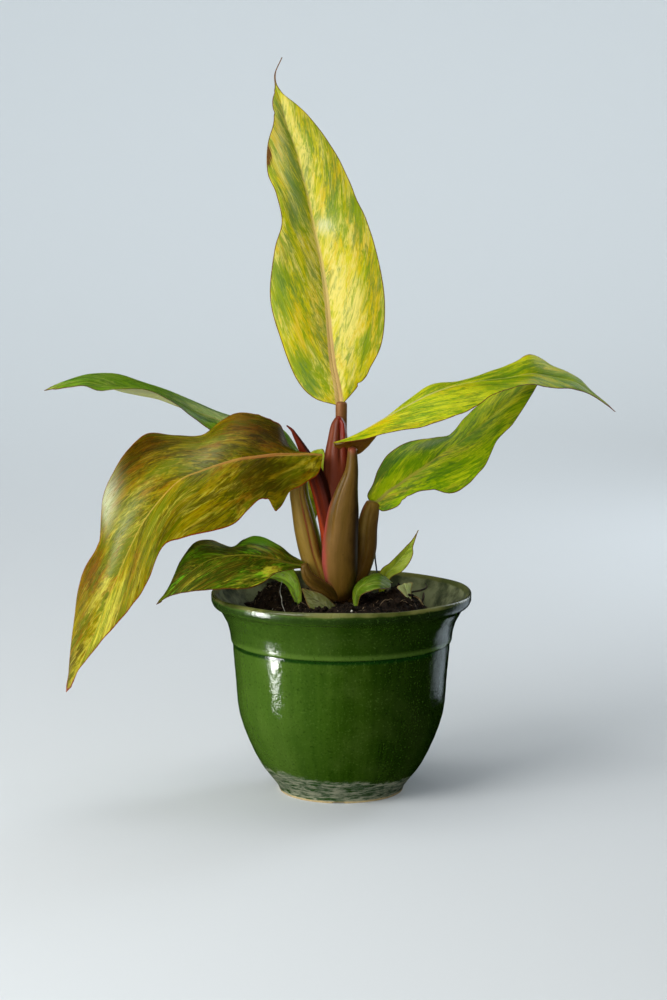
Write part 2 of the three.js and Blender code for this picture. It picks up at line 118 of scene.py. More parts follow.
class Finish(Nodes):
    """A new material with its shader, and the placer of its nodes."""

    def __init__(self, name, rough, specular=0.5):
        self.made = bpy.data.materials.new(name)
        self.made.use_nodes = True
        super().__init__(self.made.node_tree)
        self.shader = self.tree.nodes["Principled BSDF"]
        self.constant("Roughness", rough)
        self.constant("Specular IOR Level", specular)

    def constant(self, label, value):
        self.shader.inputs[label].default_value = value

    def link(self, label, socket):
        self.tree.links.new(socket, self.shader.inputs[label])

    def bump(self, height, **sizes):
        self.link("Normal", self.put("ShaderNodeBump", {"Height": height, **sizes}))

    def glow(self, weight, radius, scale):
        """Light that spreads under the skin, by colour and over a length in metres."""
        self.constant("Subsurface Weight", weight)
        self.constant("Subsurface Radius", radius)
        self.constant("Subsurface Scale", scale)


def turned(profile, steps):
    """A bmesh of a profile of (radius, height) points, in metres, turned once about the upright axis."""
    bm = bmesh.new()
    points = [bm.verts.new((radius, 0, height)) for radius, height in profile]
    for pair in zip(points, points[1:]):
        bm.edges.new(pair)
    if profile[0] == profile[-1]:
        bmesh.ops.remove_doubles(bm, verts=bm.verts, dist=1e-7)
    bmesh.ops.spin(
        bm, geom=bm.verts[:] + bm.edges[:], cent=(0, 0, 0), axis=(0, 0, 1), angle=2 * math.pi,
        steps=steps, use_merge=True, use_duplicate=False,
    )
    bmesh.ops.remove_doubles(bm, verts=bm.verts, dist=1e-6)
    bmesh.ops.recalc_face_normals(bm, faces=bm.faces)
    return bm


def new_object(name, bm, finish):
    """A smooth mesh object of a bmesh, at the origin, with its material."""
    mesh = bpy.data.meshes.new(name)
    bm.to_mesh(mesh)
    bm.free()
    mesh.polygons.foreach_set("use_smooth", [True] * len(mesh.polygons))
    mesh.materials.append(finish.made)
    made = bpy.data.objects.new(name, mesh)
    bpy.context.scene.collection.objects.link(made)
    return made


COVE = [(0, 0), (1.2, 0), (2.4, 0.02), (3.4, 0.25), (4.3, 0.9), (4.9, 1.9), (5.3, 3.2)]
PALE = tone(214, 219, 222)
cove_paint = Finish("cove_paint", 0.7, 0.0)
cove_paint.constant("Base Color", PALE)
cove_paint.bump(cove_paint.grain(cove_paint.place(), 3.0), Strength=0.02)
cove = new_object("cove", turned(COVE, 64), cove_paint)
subdivision = cove.modifiers.new("smooth", "SUBSURF")
subdivision.levels = subdivision.render_levels = 2
cove.visible_glossy = False


def soft_light(name, place, target, size, power, colour=(1.0, 1.0, 1.0)):
    """An area light of a width and a height in metres, at place, that faces target."""
    lamp = bpy.data.lights.new(name, "AREA")
    lamp.shape = "RECTANGLE"
    lamp.size, lamp.size_y = size
    lamp.energy = power
    lamp.color = colour
    made = bpy.data.objects.new(name, lamp)
    made.location = place
    made.rotation_euler = (Vector(target) - Vector(place)).to_track_quat("-Z", "Y").to_euler()
    made.visible_camera = False
    bpy.context.scene.collection.objects.link(made)
    return made


CROWN = (0, 0, 0.24)
WALL = (0, 4.6, 0.7)
soft_light("window", (-1.25, -1.2, 0.95), CROWN, (1.0, 1.4), 31, (1.0, 0.99, 0.96))
soft_light("back_right", (1.0, 1.1, 0.75), CROWN, (0.5, 1.2), 7, (0.86, 0.93, 1.0))
soft_light("overhead", (-0.3, 0.3, 2.2), CROWN, (1.6, 1.6), 14, (1.0, 0.99, 0.98))
soft_light("wall_wash", (0, 1.9, 2.6), WALL, (3.6, 0.9), 64, (0.92, 0.97, 1.0))
front_fill = soft_light("front_fill", (-0.45, -2.1, 0.6), CROWN, (1.4, 0.9), 13, (1.0, 0.99, 0.97))
left_fill = soft_light("left_fill", (-2.0, -0.5, 0.6), CROWN, (1.2, 1.0), 15, (1.0, 1.0, 0.98))
front_fill.visible_glossy = left_fill.visible_glossy = False
left_card = soft_light("left_strip", (-0.30, -0.125, 0.046), (-0.05, -0.05, 0.08), (0.05, 0.08), 0.8)
right_card = soft_light(
    "right_card", (0.18, 0.075, 0.085), (0.06, -0.03, 0.09), (0.09, 0.11), 0.028, (0.75, 0.88, 1.0)
)
left_card.visible_diffuse = right_card.visible_diffuse = False

world = bpy.data.worlds.new("studio")
world.use_nodes = True
world.node_tree.nodes["Background"].inputs["Color"].default_value = PALE
world.node_tree.nodes["Background"].inputs["Strength"].default_value = 0.2
bpy.context.scene.world = world
world.cycles_visibility.glossy = False
bpy.context.scene.view_settings.view_transform = "Standard"

CAMERA_PLACE = (-0.0054, -1.612, 0.427)
CAMERA_TILT = 7.9
camera = bpy.data.objects.new("camera", bpy.data.cameras.new("camera"))
camera.data.lens = 85
camera.location = CAMERA_PLACE
camera.rotation_euler = (math.radians(90 - CAMERA_TILT), 0, 0)
bpy.context.scene.collection.objects.link(camera)
bpy.context.scene.camera = camera


# Pot: a wheel-thrown earthenware vessel with a flared collar, dipped in a runny green glaze that breaks to
# olive on the lip, with a painted shadow line in the groove under the collar. Its foot ring is bare clay,
# notched for drainage, under a scuffed and limed band. Inside, the glaze is thin and stained by watering.

def along(points, t):
    """Points at the shares t of a smooth curve that passes through the given ones at even shares."""
    known = np.array(points, float)
    known = np.vstack([2 * known[0] - known[1], known, 2 * known[-1] - known[-2]])
    spans = len(known) - 3
    first = np.minimum((np.asarray(t) * spans).astype(int), spans - 1)
    f = (np.asarray(t) * spans - first)[:, None]
    a, b, c, d = (known[first + k] for k in range(4))
    return 0.5 * (2 * b + (c - a) * f + (2 * a - 5 * b + 4 * c - d) * f**2 + (3 * b - a - 3 * c + d) * f**3)


def ramp(low, high, value):
    """0 below low, 1 above high, and smooth between, for numbers and arrays."""
    share = np.clip((np.asarray(value, float) - low) / (high - low), 0, 1)
    return share * share * (3 - 2 * share)


def finished(name, bm, finish, slot, *nodes):
    """A piece of the plant from its bmesh: it rides on the part and stands for the nodes named."""
    piece = new_object(name, bm, finish)
    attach(piece, "root")
    if nodes:
        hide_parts(*nodes)
    return piece


RIM_RADIUS = 90
POT_HEIGHT = 140
LIP = 3.8
OUTSIDE = [
    (43, 0), (44.6, 4), (49.6, 10.6), (55.5, 18.3), (61.7, 29.8), (68.1, 45.5), (71.7, 60), (73.6, 82),
    (75.4, 103.6), (75.2, 105), (76.5, 106.4), (78.2, 116), (81.2, 123.4), (84.6, 129), (88.2, 131.8),
    (89.8, 134.6),
]
INSIDE = [
    (84.6, 134.6), (76.5, 123.4), (72, 110), (69.2, 90), (66.6, 64), (61, 44), (50, 26), (36, 14), (24, 11),
]
DRAIN = [(8, 11), (8, 4.5)]
FOOT_RING = [(35.5, 4.5), (37, 0.4), (37.6, 0), (42.4, 0)]
WALL_LEAST = 1.2
FLOOR_UNDERSIDE = 5
POT_STEPS = 224
NOTCH_ANGLES = (-92, 28, 148)
NOTCH_HALF = 3.5
NOTCH_HEIGHT = 2.5
GROOVE_HEIGHT = 104.4

lip_turns = np.radians(np.linspace(0, 180, 9))
lip = [
    (RIM_RADIUS - LIP / 2 * (1 - math.cos(turn)), POT_HEIGHT - LIP / 2 * (1 - math.sin(turn)))
    for turn in lip_turns
]
shares = np.linspace(0, 1, 96)
profile = [*along(OUTSIDE, shares), *lip, *along(INSIDE, shares[::2]), *DRAIN, *FOOT_RING, OUTSIDE[0]]
profile = [(float(radius) * MM, float(height) * MM) for radius, height in profile]
pot_bm = turned(profile, POT_STEPS)
inner = pot_bm.verts.layers.float.new("inner")
outer_radius = np.array(OUTSIDE)
for vertex in pot_bm.verts:
    x, y, z = vertex.co / MM
    radius = math.hypot(x, y)
    angle = math.atan2(y, x)
    wall = np.interp(z, outer_radius[:, 1], outer_radius[:, 0])
    vertex[inner] = 1.0 if radius < wall - WALL_LEAST and z > FLOOR_UNDERSIDE else 0.0
    for notch in NOTCH_ANGLES:
        across = radius * math.sin(angle - math.radians(notch))
        if z < 0.5 and abs(across) < NOTCH_HALF and math.cos(angle - math.radians(notch)) > 0:
            z = NOTCH_HEIGHT
    rim = float(ramp(112, 138, z))
    lumps = noise.noise(Vector((x, y, z)) * 0.045)
    thrown = 0.10 * math.sin(z * 0.72 + 1.3 * math.sin(angle * 2)) + 0.22 * lumps
    swell = 1 + (thrown * float(ramp(4, 20, z)) + rim * 0.30 * math.sin(2 * angle + 0.7)) / RIM_RADIUS
    lift = rim * (0.35 * math.sin(3 * angle + 0.4) + 0.25 * math.sin(7 * angle))
    vertex.co = Vector((x * swell, y * swell, z + lift)) * MM

# The glaze runs down the wall and clouds over; painted shade darkens its right side, painted light its
# left.
glaze = Finish("green_glaze", 0.08, 0.38)
where = glaze.place()
x, y, z = glaze.put("ShaderNodeSeparateXYZ", {0: where}).node.outputs
height = glaze.times(z, 1000)
turn = glaze.maths("ARCTAN2", y, x)
sine, cosine = glaze.maths("SINE", turn), glaze.maths("COSINE", turn)
around = glaze.put("ShaderNodeCombineXYZ", {0: sine, 1: cosine, 2: z})
runs = glaze.grain(glaze.scaled(around, (13, 13, 9)), 1.0, 4.0, 0.6)
thin_runs = glaze.grain(glaze.scaled(around, (60, 60, 12)), 1.0, 3.0, 0.6)
clouds = glaze.grain(where, 34.0, 4.0, 0.6)
body = glaze.blend(glaze.step(runs, 0.28, 0.76), tone(30, 55, 3), tone(45, 71, 10))
body = glaze.wash(body, glaze.step(clouds, 0.42, 0.70), 0.4, tone(70, 92, 30))
# Painted shade on the right side and painted light on the left, as if lit from the left.
slant = glaze.times(y, 0.3)
body = glaze.wash(body, glaze.step(glaze.minus(x, slant), 0.0, 0.075), 0.72, tone(12, 26, 2))
body = glaze.wash(body, glaze.step(glaze.plus(x, slant), -0.01, -0.09), 0.5, tone(84, 116, 42))


def band(*heights):
    """A mask that rises between the first two heights, in mm, and falls between the others, top first."""
    return glaze.times(glaze.step(height, *heights[:2]), glaze.step(height, *heights[2:]))


# Where it thins or pools: over the collar and under the lip.
body = glaze.wash(body, band(105.0, 112.0, 133.0, 126.0), 0.30, tone(22, 44, 4))
body = glaze.wash(body, glaze.step(thin_runs, 0.52, 0.74), 0.10, tone(30, 64, 2))
# A painted highlight on the collar's lower ridge.
body = glaze.wash(body, band(105.4, 106.4, 110.5, 107.5), 0.35, tone(92, 120, 48))
# A painted shadow line in the groove under the collar.
from_groove = glaze.maths("ABSOLUTE", glaze.minus(height, GROOVE_HEIGHT))
body = glaze.wash(body, glaze.step(from_groove, 2.4, 0.5), 0.9, tone(8, 44, 6))
body = glaze.wash(body, band(130.5, 134.0, 137.5, 135.5), 0.6, tone(16, 34, 4))
speckle = glaze.grain(where, 700.0, 2.0, 0.5)
body = glaze.wash(body, glaze.step(speckle, 0.60, 0.70), 0.45, tone(14, 30, 2))
body = glaze.wash(body, glaze.step(speckle, 0.40, 0.30), 0.14, tone(104, 134, 60))

# The stained inside and the worn lip.
inner_mask = glaze.share("inner")
stain = glaze.step(glaze.grain(where, 46.0, 5.0, 0.62), 0.36, 0.62)
worn = glaze.blend(stain, tone(44, 52, 28), tone(112, 118, 82))
worn = glaze.wash(worn, glaze.step(glaze.grain(where, 21.0, 4.0, 0.6), 0.52, 0.70), 0.8, tone(92, 70, 40))
body = glaze.blend(inner_mask, body, worn)
lip_skin = glaze.blend(glaze.step(clouds, 0.35, 0.65), tone(60, 68, 24), tone(104, 106, 54))
wear = glaze.plus(height, glaze.times(glaze.grain(where, 90.0, 3.0, 0.6), 2.4))
body = glaze.blend(glaze.step(wear, 138.0, 139.4), body, lip_skin)

# The scuffed and limed band over the bare clay of the foot ring. It reaches higher on the left.
scuff_line = glaze.plus(height, glaze.times(glaze.grain(where, 55.0, 5.0, 0.7), -17.0))
scuffed = glaze.step(glaze.plus(scuff_line, glaze.times(x, 90)), 10.5, 6.0)
scratch = glaze.grain(glaze.scaled(where, (130, 130, 760)), 1.0, 6.0, 0.72)
lime = glaze.blend(glaze.step(scratch, 0.42, 0.60), tone(46, 74, 48), tone(146, 146, 122))
scuff_share = glaze.times(scuffed, glaze.step(scratch, 0.30, 0.52))
body = glaze.wash(body, scuff_share, 0.9, lime)
clay_line = glaze.step(glaze.plus(height, glaze.times(glaze.grain(where, 120.0), 1.2)), 2.3, 1.5)
clay = glaze.blend(glaze.grain(where, 260.0), tone(150, 124, 84), tone(206, 188, 142))
glaze.link("Base Color", glaze.blend(clay_line, body, clay))

rough = 0.08
for share, more in (
    (inner_mask, 0.8), (scuff_share, 0.45), (glaze.step(height, 129.0, 134.0), 0.14), (clay_line, 0.7),
    (glaze.step(clouds, 0.5, 0.8), 0.10),
):
    rough = glaze.plus(rough, glaze.times(share, more))
glaze.link("Roughness", rough)
ripples = glaze.plus(glaze.times(glaze.grain(where, 130.0, 3.0), 0.0008), glaze.times(scratch, 0.0002))
glaze.bump(ripples, Strength=0.5, Distance=1.0)

finished("pot_glazed", pot_bm, glaze, "pot_glaze", "pot")


# Soil: dark potting mix of peat and bark, heaped a little round the stem and sunk away from the wall. It
# is a crumbly bed with loose crumbs, bark chips, pale grit and root fibres pressed into its top.

SOIL_LEVEL = 131.5
SOIL_EDGE = 115
SOIL_RADIUS = 72.8
SOIL_CELLS = 210
SOIL_REACH = 70
CROWN_REACH = 12
HEAPS = ((-48, 8, 15, 24), (42, -2, 10, 20))
CRUMBS = 1500
FIBRES = 240
random.seed(11)


def soil_height(x, y):
    """Height of the bed at a place, in mm, without its crumb."""
    radius = np.hypot(x, y)
    bed = SOIL_LEVEL - (SOIL_LEVEL - SOIL_EDGE) * ramp(38, 74, radius)
    for cx, cy, heap, spread in HEAPS:
        bed = bed + heap * np.exp(-((x - cx) ** 2 + (y - cy) ** 2) / spread**2)
    lumps = np.sin(x * 0.33 + 1.4 * np.sin(y * 0.19)) * np.sin(y * 0.37 + np.sin(x * 0.23))
    clods = np.sin(x * 0.71 + 2) * np.sin(y * 0.63 + 1)
    return bed + (1.1 * lumps + 0.5 * clods) * ramp(10, 24, radius)


def ground(x, y):
    """Height of the bed at a place, in mm, with the crumb that stands on it."""
    place = Vector((x, y, 0))
    crumb = 1.5 * noise.noise(place * 0.22) + 1.1 * abs(noise.noise(place * 0.55))
    return float(soil_height(x, y)) + (crumb + 0.7 * noise.noise(place * 1.3))


def to_metres(bm):
    bmesh.ops.scale(bm, verts=bm.verts, vec=(MM, MM, MM))


soil_bm = bmesh.new()
bmesh.ops.create_grid(soil_bm, x_segments=SOIL_CELLS, y_segments=SOIL_CELLS, size=1)
for vertex in soil_bm.verts:
    x, y = vertex.co.x, vertex.co.y
    x, y = (SOIL_RADIUS * x * math.sqrt(1 - y * y / 2), SOIL_RADIUS * y * math.sqrt(1 - x * x / 2))
    vertex.co = (x, y, ground(x, y))
wall_below = [(radius - 0.5, height) for radius, height in INSIDE if height < SOIL_EDGE - 6]
for radius, height in wall_below:
    rim = [edge for edge in soil_bm.edges if edge.is_boundary]
    extruded = bmesh.ops.extrude_edge_only(soil_bm, edges=rim)["geom"]
    for vertex in (part for part in extruded if isinstance(part, bmesh.types.BMVert)):
        vertex.co.xy = vertex.co.xy.normalized() * radius
        vertex.co.z = height + 0.4
bmesh.ops.holes_fill(soil_bm, edges=[edge for edge in soil_bm.edges if edge.is_boundary])
to_metres(soil_bm)
bmesh.ops.recalc_face_normals(soil_bm, faces=soil_bm.faces)

peat = Finish("peat_mix", 0.9, 0.2)
where = peat.place()
fine = peat.grain(where, 900.0, 4.0, 0.7)
coarse = peat.grain(where, 210.0, 4.0, 0.65)
earth = peat.blend(peat.step(coarse, 0.34, 0.66), tone(11, 7, 4), tone(36, 25, 15))
earth = peat.blend(peat.step(fine, 0.56, 0.74), earth, tone(64, 48, 32))
earth = peat.blend(peat.step(peat.grain(where, 520.0, 2.0), 0.70, 0.74), earth, tone(140, 126, 104))
peat.link("Base Color", earth)
peat.bump(peat.plus(peat.times(coarse, 0.0012), peat.times(fine, 0.0006)), Distance=1.0)
finished("soil_bed", soil_bm, peat, "soil", "soil")


def open_ground():
    """A random place on the bed, clear of the wall and of the crown, with the bed's height there."""
    while True:
        x, y = random.uniform(-SOIL_REACH, SOIL_REACH), random.uniform(-SOIL_REACH, SOIL_REACH)
        if CROWN_REACH < math.hypot(x, y) < SOIL_REACH:
            return x, y, ground(x, y)


def heaped(count, add_one, batch=50):
    """A bmesh of many small things, made in batches since operators slow down in a large bmesh."""
    whole = bmesh.new()
    for start in range(0, count, batch):
        part = bmesh.new()
        for _ in range(min(batch, count - start)):
            add_one(part)
        bmesh.ops.recalc_face_normals(part, faces=part.faces)
        mesh = bpy.data.meshes.new("batch")
        part.to_mesh(mesh)
        part.free()
        whole.from_mesh(mesh)
        bpy.data.meshes.remove(mesh)
    return whole


def crumb_of_peat(crumbs_bm):
    x, y, z = open_ground()
    size = random.choice((0.6, 0.8, 1.1, 1.5, 2.3)) * random.uniform(0.7, 1.2)
    made = bmesh.ops.create_icosphere(crumbs_bm, subdivisions=1, radius=size)["verts"]
    stretch = (random.uniform(0.6, 1.5), random.uniform(0.6, 1.2), random.uniform(0.5, 0.9))
    bmesh.ops.scale(crumbs_bm, verts=made, vec=stretch)
    for vertex in made:
        vertex.co *= 1 + random.uniform(-0.28, 0.28)
    spin = Vector((random.random(), random.random(), random.random())).to_track_quat("Z", "Y").to_matrix()
    bmesh.ops.rotate(crumbs_bm, verts=made, matrix=spin)
    bmesh.ops.translate(crumbs_bm, verts=made, vec=(x, y, z + 0.15 * size))


crumbs_bm = heaped(CRUMBS, crumb_of_peat)
to_metres(crumbs_bm)
crumbs = finished("soil_crumbs", crumbs_bm, peat, "soil")
crumbs.data.polygons.foreach_set("use_smooth", [False] * len(crumbs.data.polygons))


def strand(bm, points, radius, sides):
    """A thin round strand along points in mm, thinner towards both ends, added to a bmesh in metres."""
    count = max(8, 4 * len(points))
    line = along(points, np.linspace(0, 1, count))
    rings = []
    for k, place in enumerate(line):
        ahead = Vector(line[min(k + 1, count - 1)] - line[max(k - 1, 0)]).normalized()
        side = ahead.cross(Vector((0.31, 0.42, 0.85))).normalized()
        other = ahead.cross(side)
        size = radius * math.sqrt(max(0.05, math.sin(math.pi * (0.02 + 0.96 * k / (count - 1)))))
        angles = [2 * math.pi * n / sides for n in range(sides)]
        rings.append([
            bm.verts.new((Vector(place) + size * (side * math.cos(turn) + other * math.sin(turn))) * MM)
            for turn in angles
        ])
    edges = [bm.edges.new((ring[n], ring[(n + 1) % sides])) for ring in rings for n in range(sides)]
    for k in range(count - 1):
        bmesh.ops.bridge_loops(bm, edges=edges[k * sides : (k + 2) * sides])
    bm.faces.new(rings[0])
    bm.faces.new(rings[-1][::-1])


fibre = Finish("root_fibre", 0.8)
wander = fibre.step(fibre.grain(fibre.place(), 60.0), 0.40, 0.62)
fibre.link("Base Color", fibre.blend(wander, tone(40, 30, 22), tone(128, 108, 80)))


def root_of_peat(fibres_bm):
    x, y, z = open_ground()
    course = random.uniform(0, 2 * math.pi)
    reach = random.uniform(3, 9)
    points = [(x, y, z - 0.6)]
    for _ in range(3):
        course += random.uniform(-0.8, 0.8)
        x, y = x + reach / 3 * math.cos(course), y + reach / 3 * math.sin(course)
        x, y = (x, y) if math.hypot(x, y) < SOIL_REACH + 1 else (x * 0.95, y * 0.95)
        points.append((x, y, ground(x, y) + random.uniform(-0.2, 1.6)))
    strand(fibres_bm, points, random.uniform(0.12, 0.3), 4)


finished("soil_fibres", heaped(FIBRES, root_of_peat), fibre, "soil")


# Stem: the short fleshy foot of the plant, hidden in the crown, from which all the petioles grow. It is
# solid tissue with a waxy skin, dark where old sheaths have dried on it, and its roots hold it in the soil.

def woven(columns, rows, place):
    """A closed skin from a grid whose sides meet: place turns shares, round and along, into points in mm
    and attributes."""
    bm = bmesh.new()
    bmesh.ops.create_grid(bm, x_segments=columns, y_segments=rows, size=0.5)
    shares = np.array([vertex.co for vertex in bm.verts]) + 0.5
    spots, attributes = place(shares[:, 0], shares[:, 1])
    for label, values in attributes.items():
        vector = values.ndim == 2
        layers = bm.verts.layers.float_vector if vector else bm.verts.layers.float
        layer = layers.new(label)
        for vertex, value in zip(bm.verts, values):
            vertex[layer] = Vector(value) if vector else float(value)
    for vertex, spot in zip(bm.verts, spots):
        vertex.co = Vector(spot) * MM
    bmesh.ops.remove_doubles(bm, verts=bm.verts, dist=0.02 * MM)
    bmesh.ops.dissolve_degenerate(bm, edges=bm.edges, dist=0.002 * MM)
    bmesh.ops.recalc_face_normals(bm, faces=bm.faces)
    return bm


def unit(vectors):
    return vectors / np.linalg.norm(vectors, axis=1)[:, None]


def heading(path, length, reach):
    """The way ahead along a curve at the shares given."""
    return unit(along(path, np.minimum(length + reach, 1)) - along(path, np.maximum(length - reach, 0)))


def travel(path, length, count):
    """How far along a curve its shares lie, in mm, and the whole length, measured in count steps."""
    shares = np.linspace(0, 1, count)
    steps = np.linalg.norm(np.diff(along(path, shares), axis=0), axis=1)
    return np.interp(length, shares, [0, *np.cumsum(steps)]), steps.sum()


def spotted(across, length, spots, turns=None, level=0.0):
    """A mask, 0 to 1, of a level and soft spots: (across, along, half width, half length, amount)."""
    total = np.full(len(across), level)
    for middle, station, half, reach, amount in spots:
        away = across - middle
        if turns:
            away = (away + turns / 2) % turns - turns / 2
        total += amount * np.exp(-((away / half) ** 2) - ((length - station) / reach) ** 2)
    return np.clip(total, 0, 1)


def shared_group(name, inputs, outputs):
    """An empty node group with named sockets, as its tree, its placer and the sockets that it takes in."""
    tree = bpy.data.node_groups.new(name, "ShaderNodeTree")
    for side, sockets in (("INPUT", inputs), ("OUTPUT", outputs)):
        for label, kind in sockets.items():
            tree.interface.new_socket(label, in_out=side, socket_type="NodeSocket" + kind)
    taken = tree.nodes.new("NodeGroupInput").outputs
    return tree, Nodes(tree), taken


def put_out(tree, **values):
    """Links what a group puts out."""
    end = tree.nodes.new("NodeGroupOutput")
    for label, value in values.items():
        tree.links.new(value, end.inputs[label])


STALK_MASKS = ("red", "green", "dark", "light")
STALK_LAYERS = (
    ("Light", "Pale", 0.9), ("Green", "Leafy", 0.95), ("Dark", "Shade", 0.95), ("Red", "Flush", 1.0),
)
skin_tree, nodes, taken = shared_group(
    "stalk_skin",
    {
        "Grain": "Vector", **dict.fromkeys(("Red", "Green", "Dark", "Light"), "Float"),
        **dict.fromkeys(("Ground", "Pale", "Flush", "Leafy", "Shade"), "Color"),
    },
    {"Colour": "Color", "Relief": "Float"},
)
fibres = nodes.grain(nodes.scaled(taken["Grain"], (1.5, 1.5, 0.035)), 1.0, 3.0, 0.6)
bands = nodes.grain(nodes.scaled(taken["Grain"], (0.42, 0.42, 0.02)), 1.0, 3.0, 0.6)
mottle = nodes.grain(nodes.scaled(taken["Grain"], (0.30, 0.30, 0.10)), 1.0, 4.0, 0.6)
flecks = nodes.grain(nodes.scaled(taken["Grain"], (1.1, 1.1, 0.7)), 1.0, 1.0)
skin = nodes.wash(taken["Ground"], nodes.step(bands, 0.30, 0.72), 0.25, taken["Pale"])
skin = nodes.wash(skin, nodes.step(fibres, 0.50, 0.76), 0.08, taken["Pale"])
skin = nodes.wash(skin, nodes.step(mottle, 0.52, 0.76), 0.22, taken["Shade"])
# The light layer lays painted highlights and the dark layer mostly painted shade; red and green are real.
for mask, tint, most in STALK_LAYERS:
    ragged = nodes.plus(taken[mask], nodes.times(nodes.minus(mottle, 0.5), 0.5))
    share = nodes.times(nodes.step(ragged, 0.08, 0.85), nodes.step(taken[mask], 0.0, 0.15))
    skin = nodes.wash(skin, share, most, taken[tint])
skin = nodes.wash(skin, nodes.step(flecks, 0.745, 0.775), 0.6, taken["Shade"])
put_out(skin_tree, Colour=skin, Relief=nodes.plus(fibres, nodes.times(bands, 0.8)))


def stalk_finish(name, ground, pale, flush, leafy, shade, rough=0.36):
    """Waxy streaked skin in five colours from 0 to 255, with painted highlights and painted shade."""
    made = Finish(name, rough, 0.22)
    made.glow(0.15, (1.0, 0.6, 0.25), 0.002)
    colours = {"Ground": ground, "Pale": pale, "Flush": flush, "Leafy": leafy, "Shade": shade}
    inputs = {label.capitalize(): made.share(label) for label in STALK_MASKS}
    inputs |= {label: tone(*colour) for label, colour in colours.items()}
    inputs["Grain"] = made.vector("grain")
    skin = made.put("ShaderNodeGroup", inputs, node_tree=skin_tree).node.outputs
    made.link("Base Color", skin["Colour"])
    made.bump(skin["Relief"], Distance=0.0001)
    return made


def stalk(name, path, wide, deep, finish, slot="petiole", folds=(), spots=None, caps=(2.0, 1.5)):
    """A fleshy piece that follows path from its top down. Folds are (angle at the top, at the foot, half
    width, depth, from, to), and angles are in degrees from the front, positive to the right."""
    sizes = [(w, d, 0) for w, d in zip(wide, deep)]
    masks = dict.fromkeys(STALK_MASKS, ()) | (spots or {})

    def place(around, length):
        ahead = heading(path, length, 0.004)
        right = unit(np.cross(ahead, (0, 1, 0)))
        back = np.cross(right, ahead)
        back *= np.sign(back[:, 1])[:, None]
        size = along(sizes, length)
        angle = around * 360 - 180
        turn = np.radians(angle)
        grow = np.zeros(len(angle))
        for top, foot, half, depth, start, end in folds:
            away = (angle - (top + (foot - top) * length) + 180) % 360 - 180
            window = ramp(start, start + 0.12, length) * (1 - ramp(end - 0.12, end, length))
            grow -= depth * window * np.exp(-((away / half) ** 2))
        travelled, total = travel(path, length, 60)
        top_cap = np.sqrt(1 - (1 - np.clip(travelled / caps[0], 0, 1)) ** 2)
        foot_cap = np.sqrt(1 - (1 - np.clip((total - travelled) / caps[1], 0, 1)) ** 2)
        sideways = right * (np.sin(turn) * (size[:, 0] + grow))[:, None]
        backwards = back * (np.cos(turn) * (size[:, 1] + grow))[:, None]
        mean = size.mean(axis=1) * 1.5
        attributes = {"grain": np.column_stack([np.sin(turn) * mean, np.cos(turn) * mean, travelled])}
        for label, marks in masks.items():
            attributes[label] = spotted(angle, length, marks, 360)
        return along(path, length) + (sideways - backwards) * (top_cap * foot_cap)[:, None], attributes

    return finished(name + "_flesh", woven(84, 130, place), finish, slot, name)


OLIVE = stalk_finish(
    "petiole_olive", (92, 68, 18), (132, 98, 50), (172, 80, 70), (110, 120, 24), (42, 24, 2)
)
stalk(
    "stem", [(0, 1, 146), (0, 1, 128), (-0.5, 0, 95), (-1, 0, 62)], [6, 8.5, 9, 5], [6, 7.5, 8.5, 5], OLIVE,
    spots={"dark": [(0, 0.3, 180, 0.4, 0.9)]},
)


# Right upper petiole: the stoutest leaf stalk, solid and waxy, olive brown. It clasps the stem at its foot
# and carries the upper right leaf, and the edges of its wing are flushed red.

stalk(
    "petiole_right_upper",
    [
        (7.5, -13, 242), (7, -13, 226), (4, -12.5, 212), (1.5, -12, 198), (0, -11, 183), (-1, -10, 170),
        (-1, -8, 154), (-1, -6, 143), (0, -4, 135),
    ],
    [3, 4.5, 7.5, 10.5, 11.7, 12.4, 12, 10, 8], [3.5, 5, 7, 8.5, 9, 9, 9, 8.5, 7], OLIVE,
    folds=[(-50, -30, 9, 1.0, 0.10, 0.60), (28, 20, 16, 0.15, 0.1, 0.85), (-34, -16, 8, -0.35, 0.15, 0.7)],
    spots={
        "red": [
            (-80, 0.46, 22, 0.16, 0.8), (-66, 0.70, 24, 0.14, 0.85), (-46, 0.90, 30, 0.10, 0.6),
            (0, 0.0, 180, 0.04, 0.5),
        ],
        # Painted highlights at its front left; painted shade on its right side and in its wing's groove.
        "light": [(-20, 0.5, 16, 0.3, 0.5), (-44, 0.7, 20, 0.25, 0.6)],
        "dark": [(75, 0.5, 48, 0.6, 0.95), (20, 0.97, 60, 0.09, 0.9), (-44, 0.26, 6, 0.12, 0.5)],
    },
)


# Right lower petiole: a shorter stalk of the same waxy flesh, tan, with painted shade on its right side. It
# grows from the stem behind the upper one and leans out to the right under the lower right leaf.

TAN = stalk_finish(
    "petiole_tan", (136, 106, 34), (174, 144, 74), (176, 92, 64), (112, 140, 16), (84, 56, 10)
)
stalk(
    "petiole_right_lower",
    [(22.5, 5, 202), (20, 5, 194), (18, 5, 183), (17, 4, 168), (12.5, 3, 153), (6, 1, 140), (2.5, 0, 132)],
    [4.5, 6.2, 7, 7.2, 7, 6, 5], [3.5, 5, 6, 6.5, 6.5, 6, 5], TAN,
    folds=[(-14, -4, 10, 1.0, 0.0, 0.7), (35, 25, 14, 0.3, 0.1, 0.9)],
    spots={
        # Painted shade on the right, the upper petiole's painted shadow low on the left, darker at the
        # foot.
        "dark": [(60, 0.5, 70, 0.6, 0.9), (-50, 0.75, 50, 0.4, 0.9), (0, 0.95, 90, 0.2, 0.8)],
        # A painted highlight.
        "light": [(-25, 0.35, 24, 0.3, 0.5)],
        "red": [(-60, 0.12, 14, 0.12, 0.6)],
    },
)


# Left front petiole: a grooved tan stalk that grows from the stem, bows out to the left and bears the
# largest leaf. One edge of its groove is flushed red, and its left side is green.

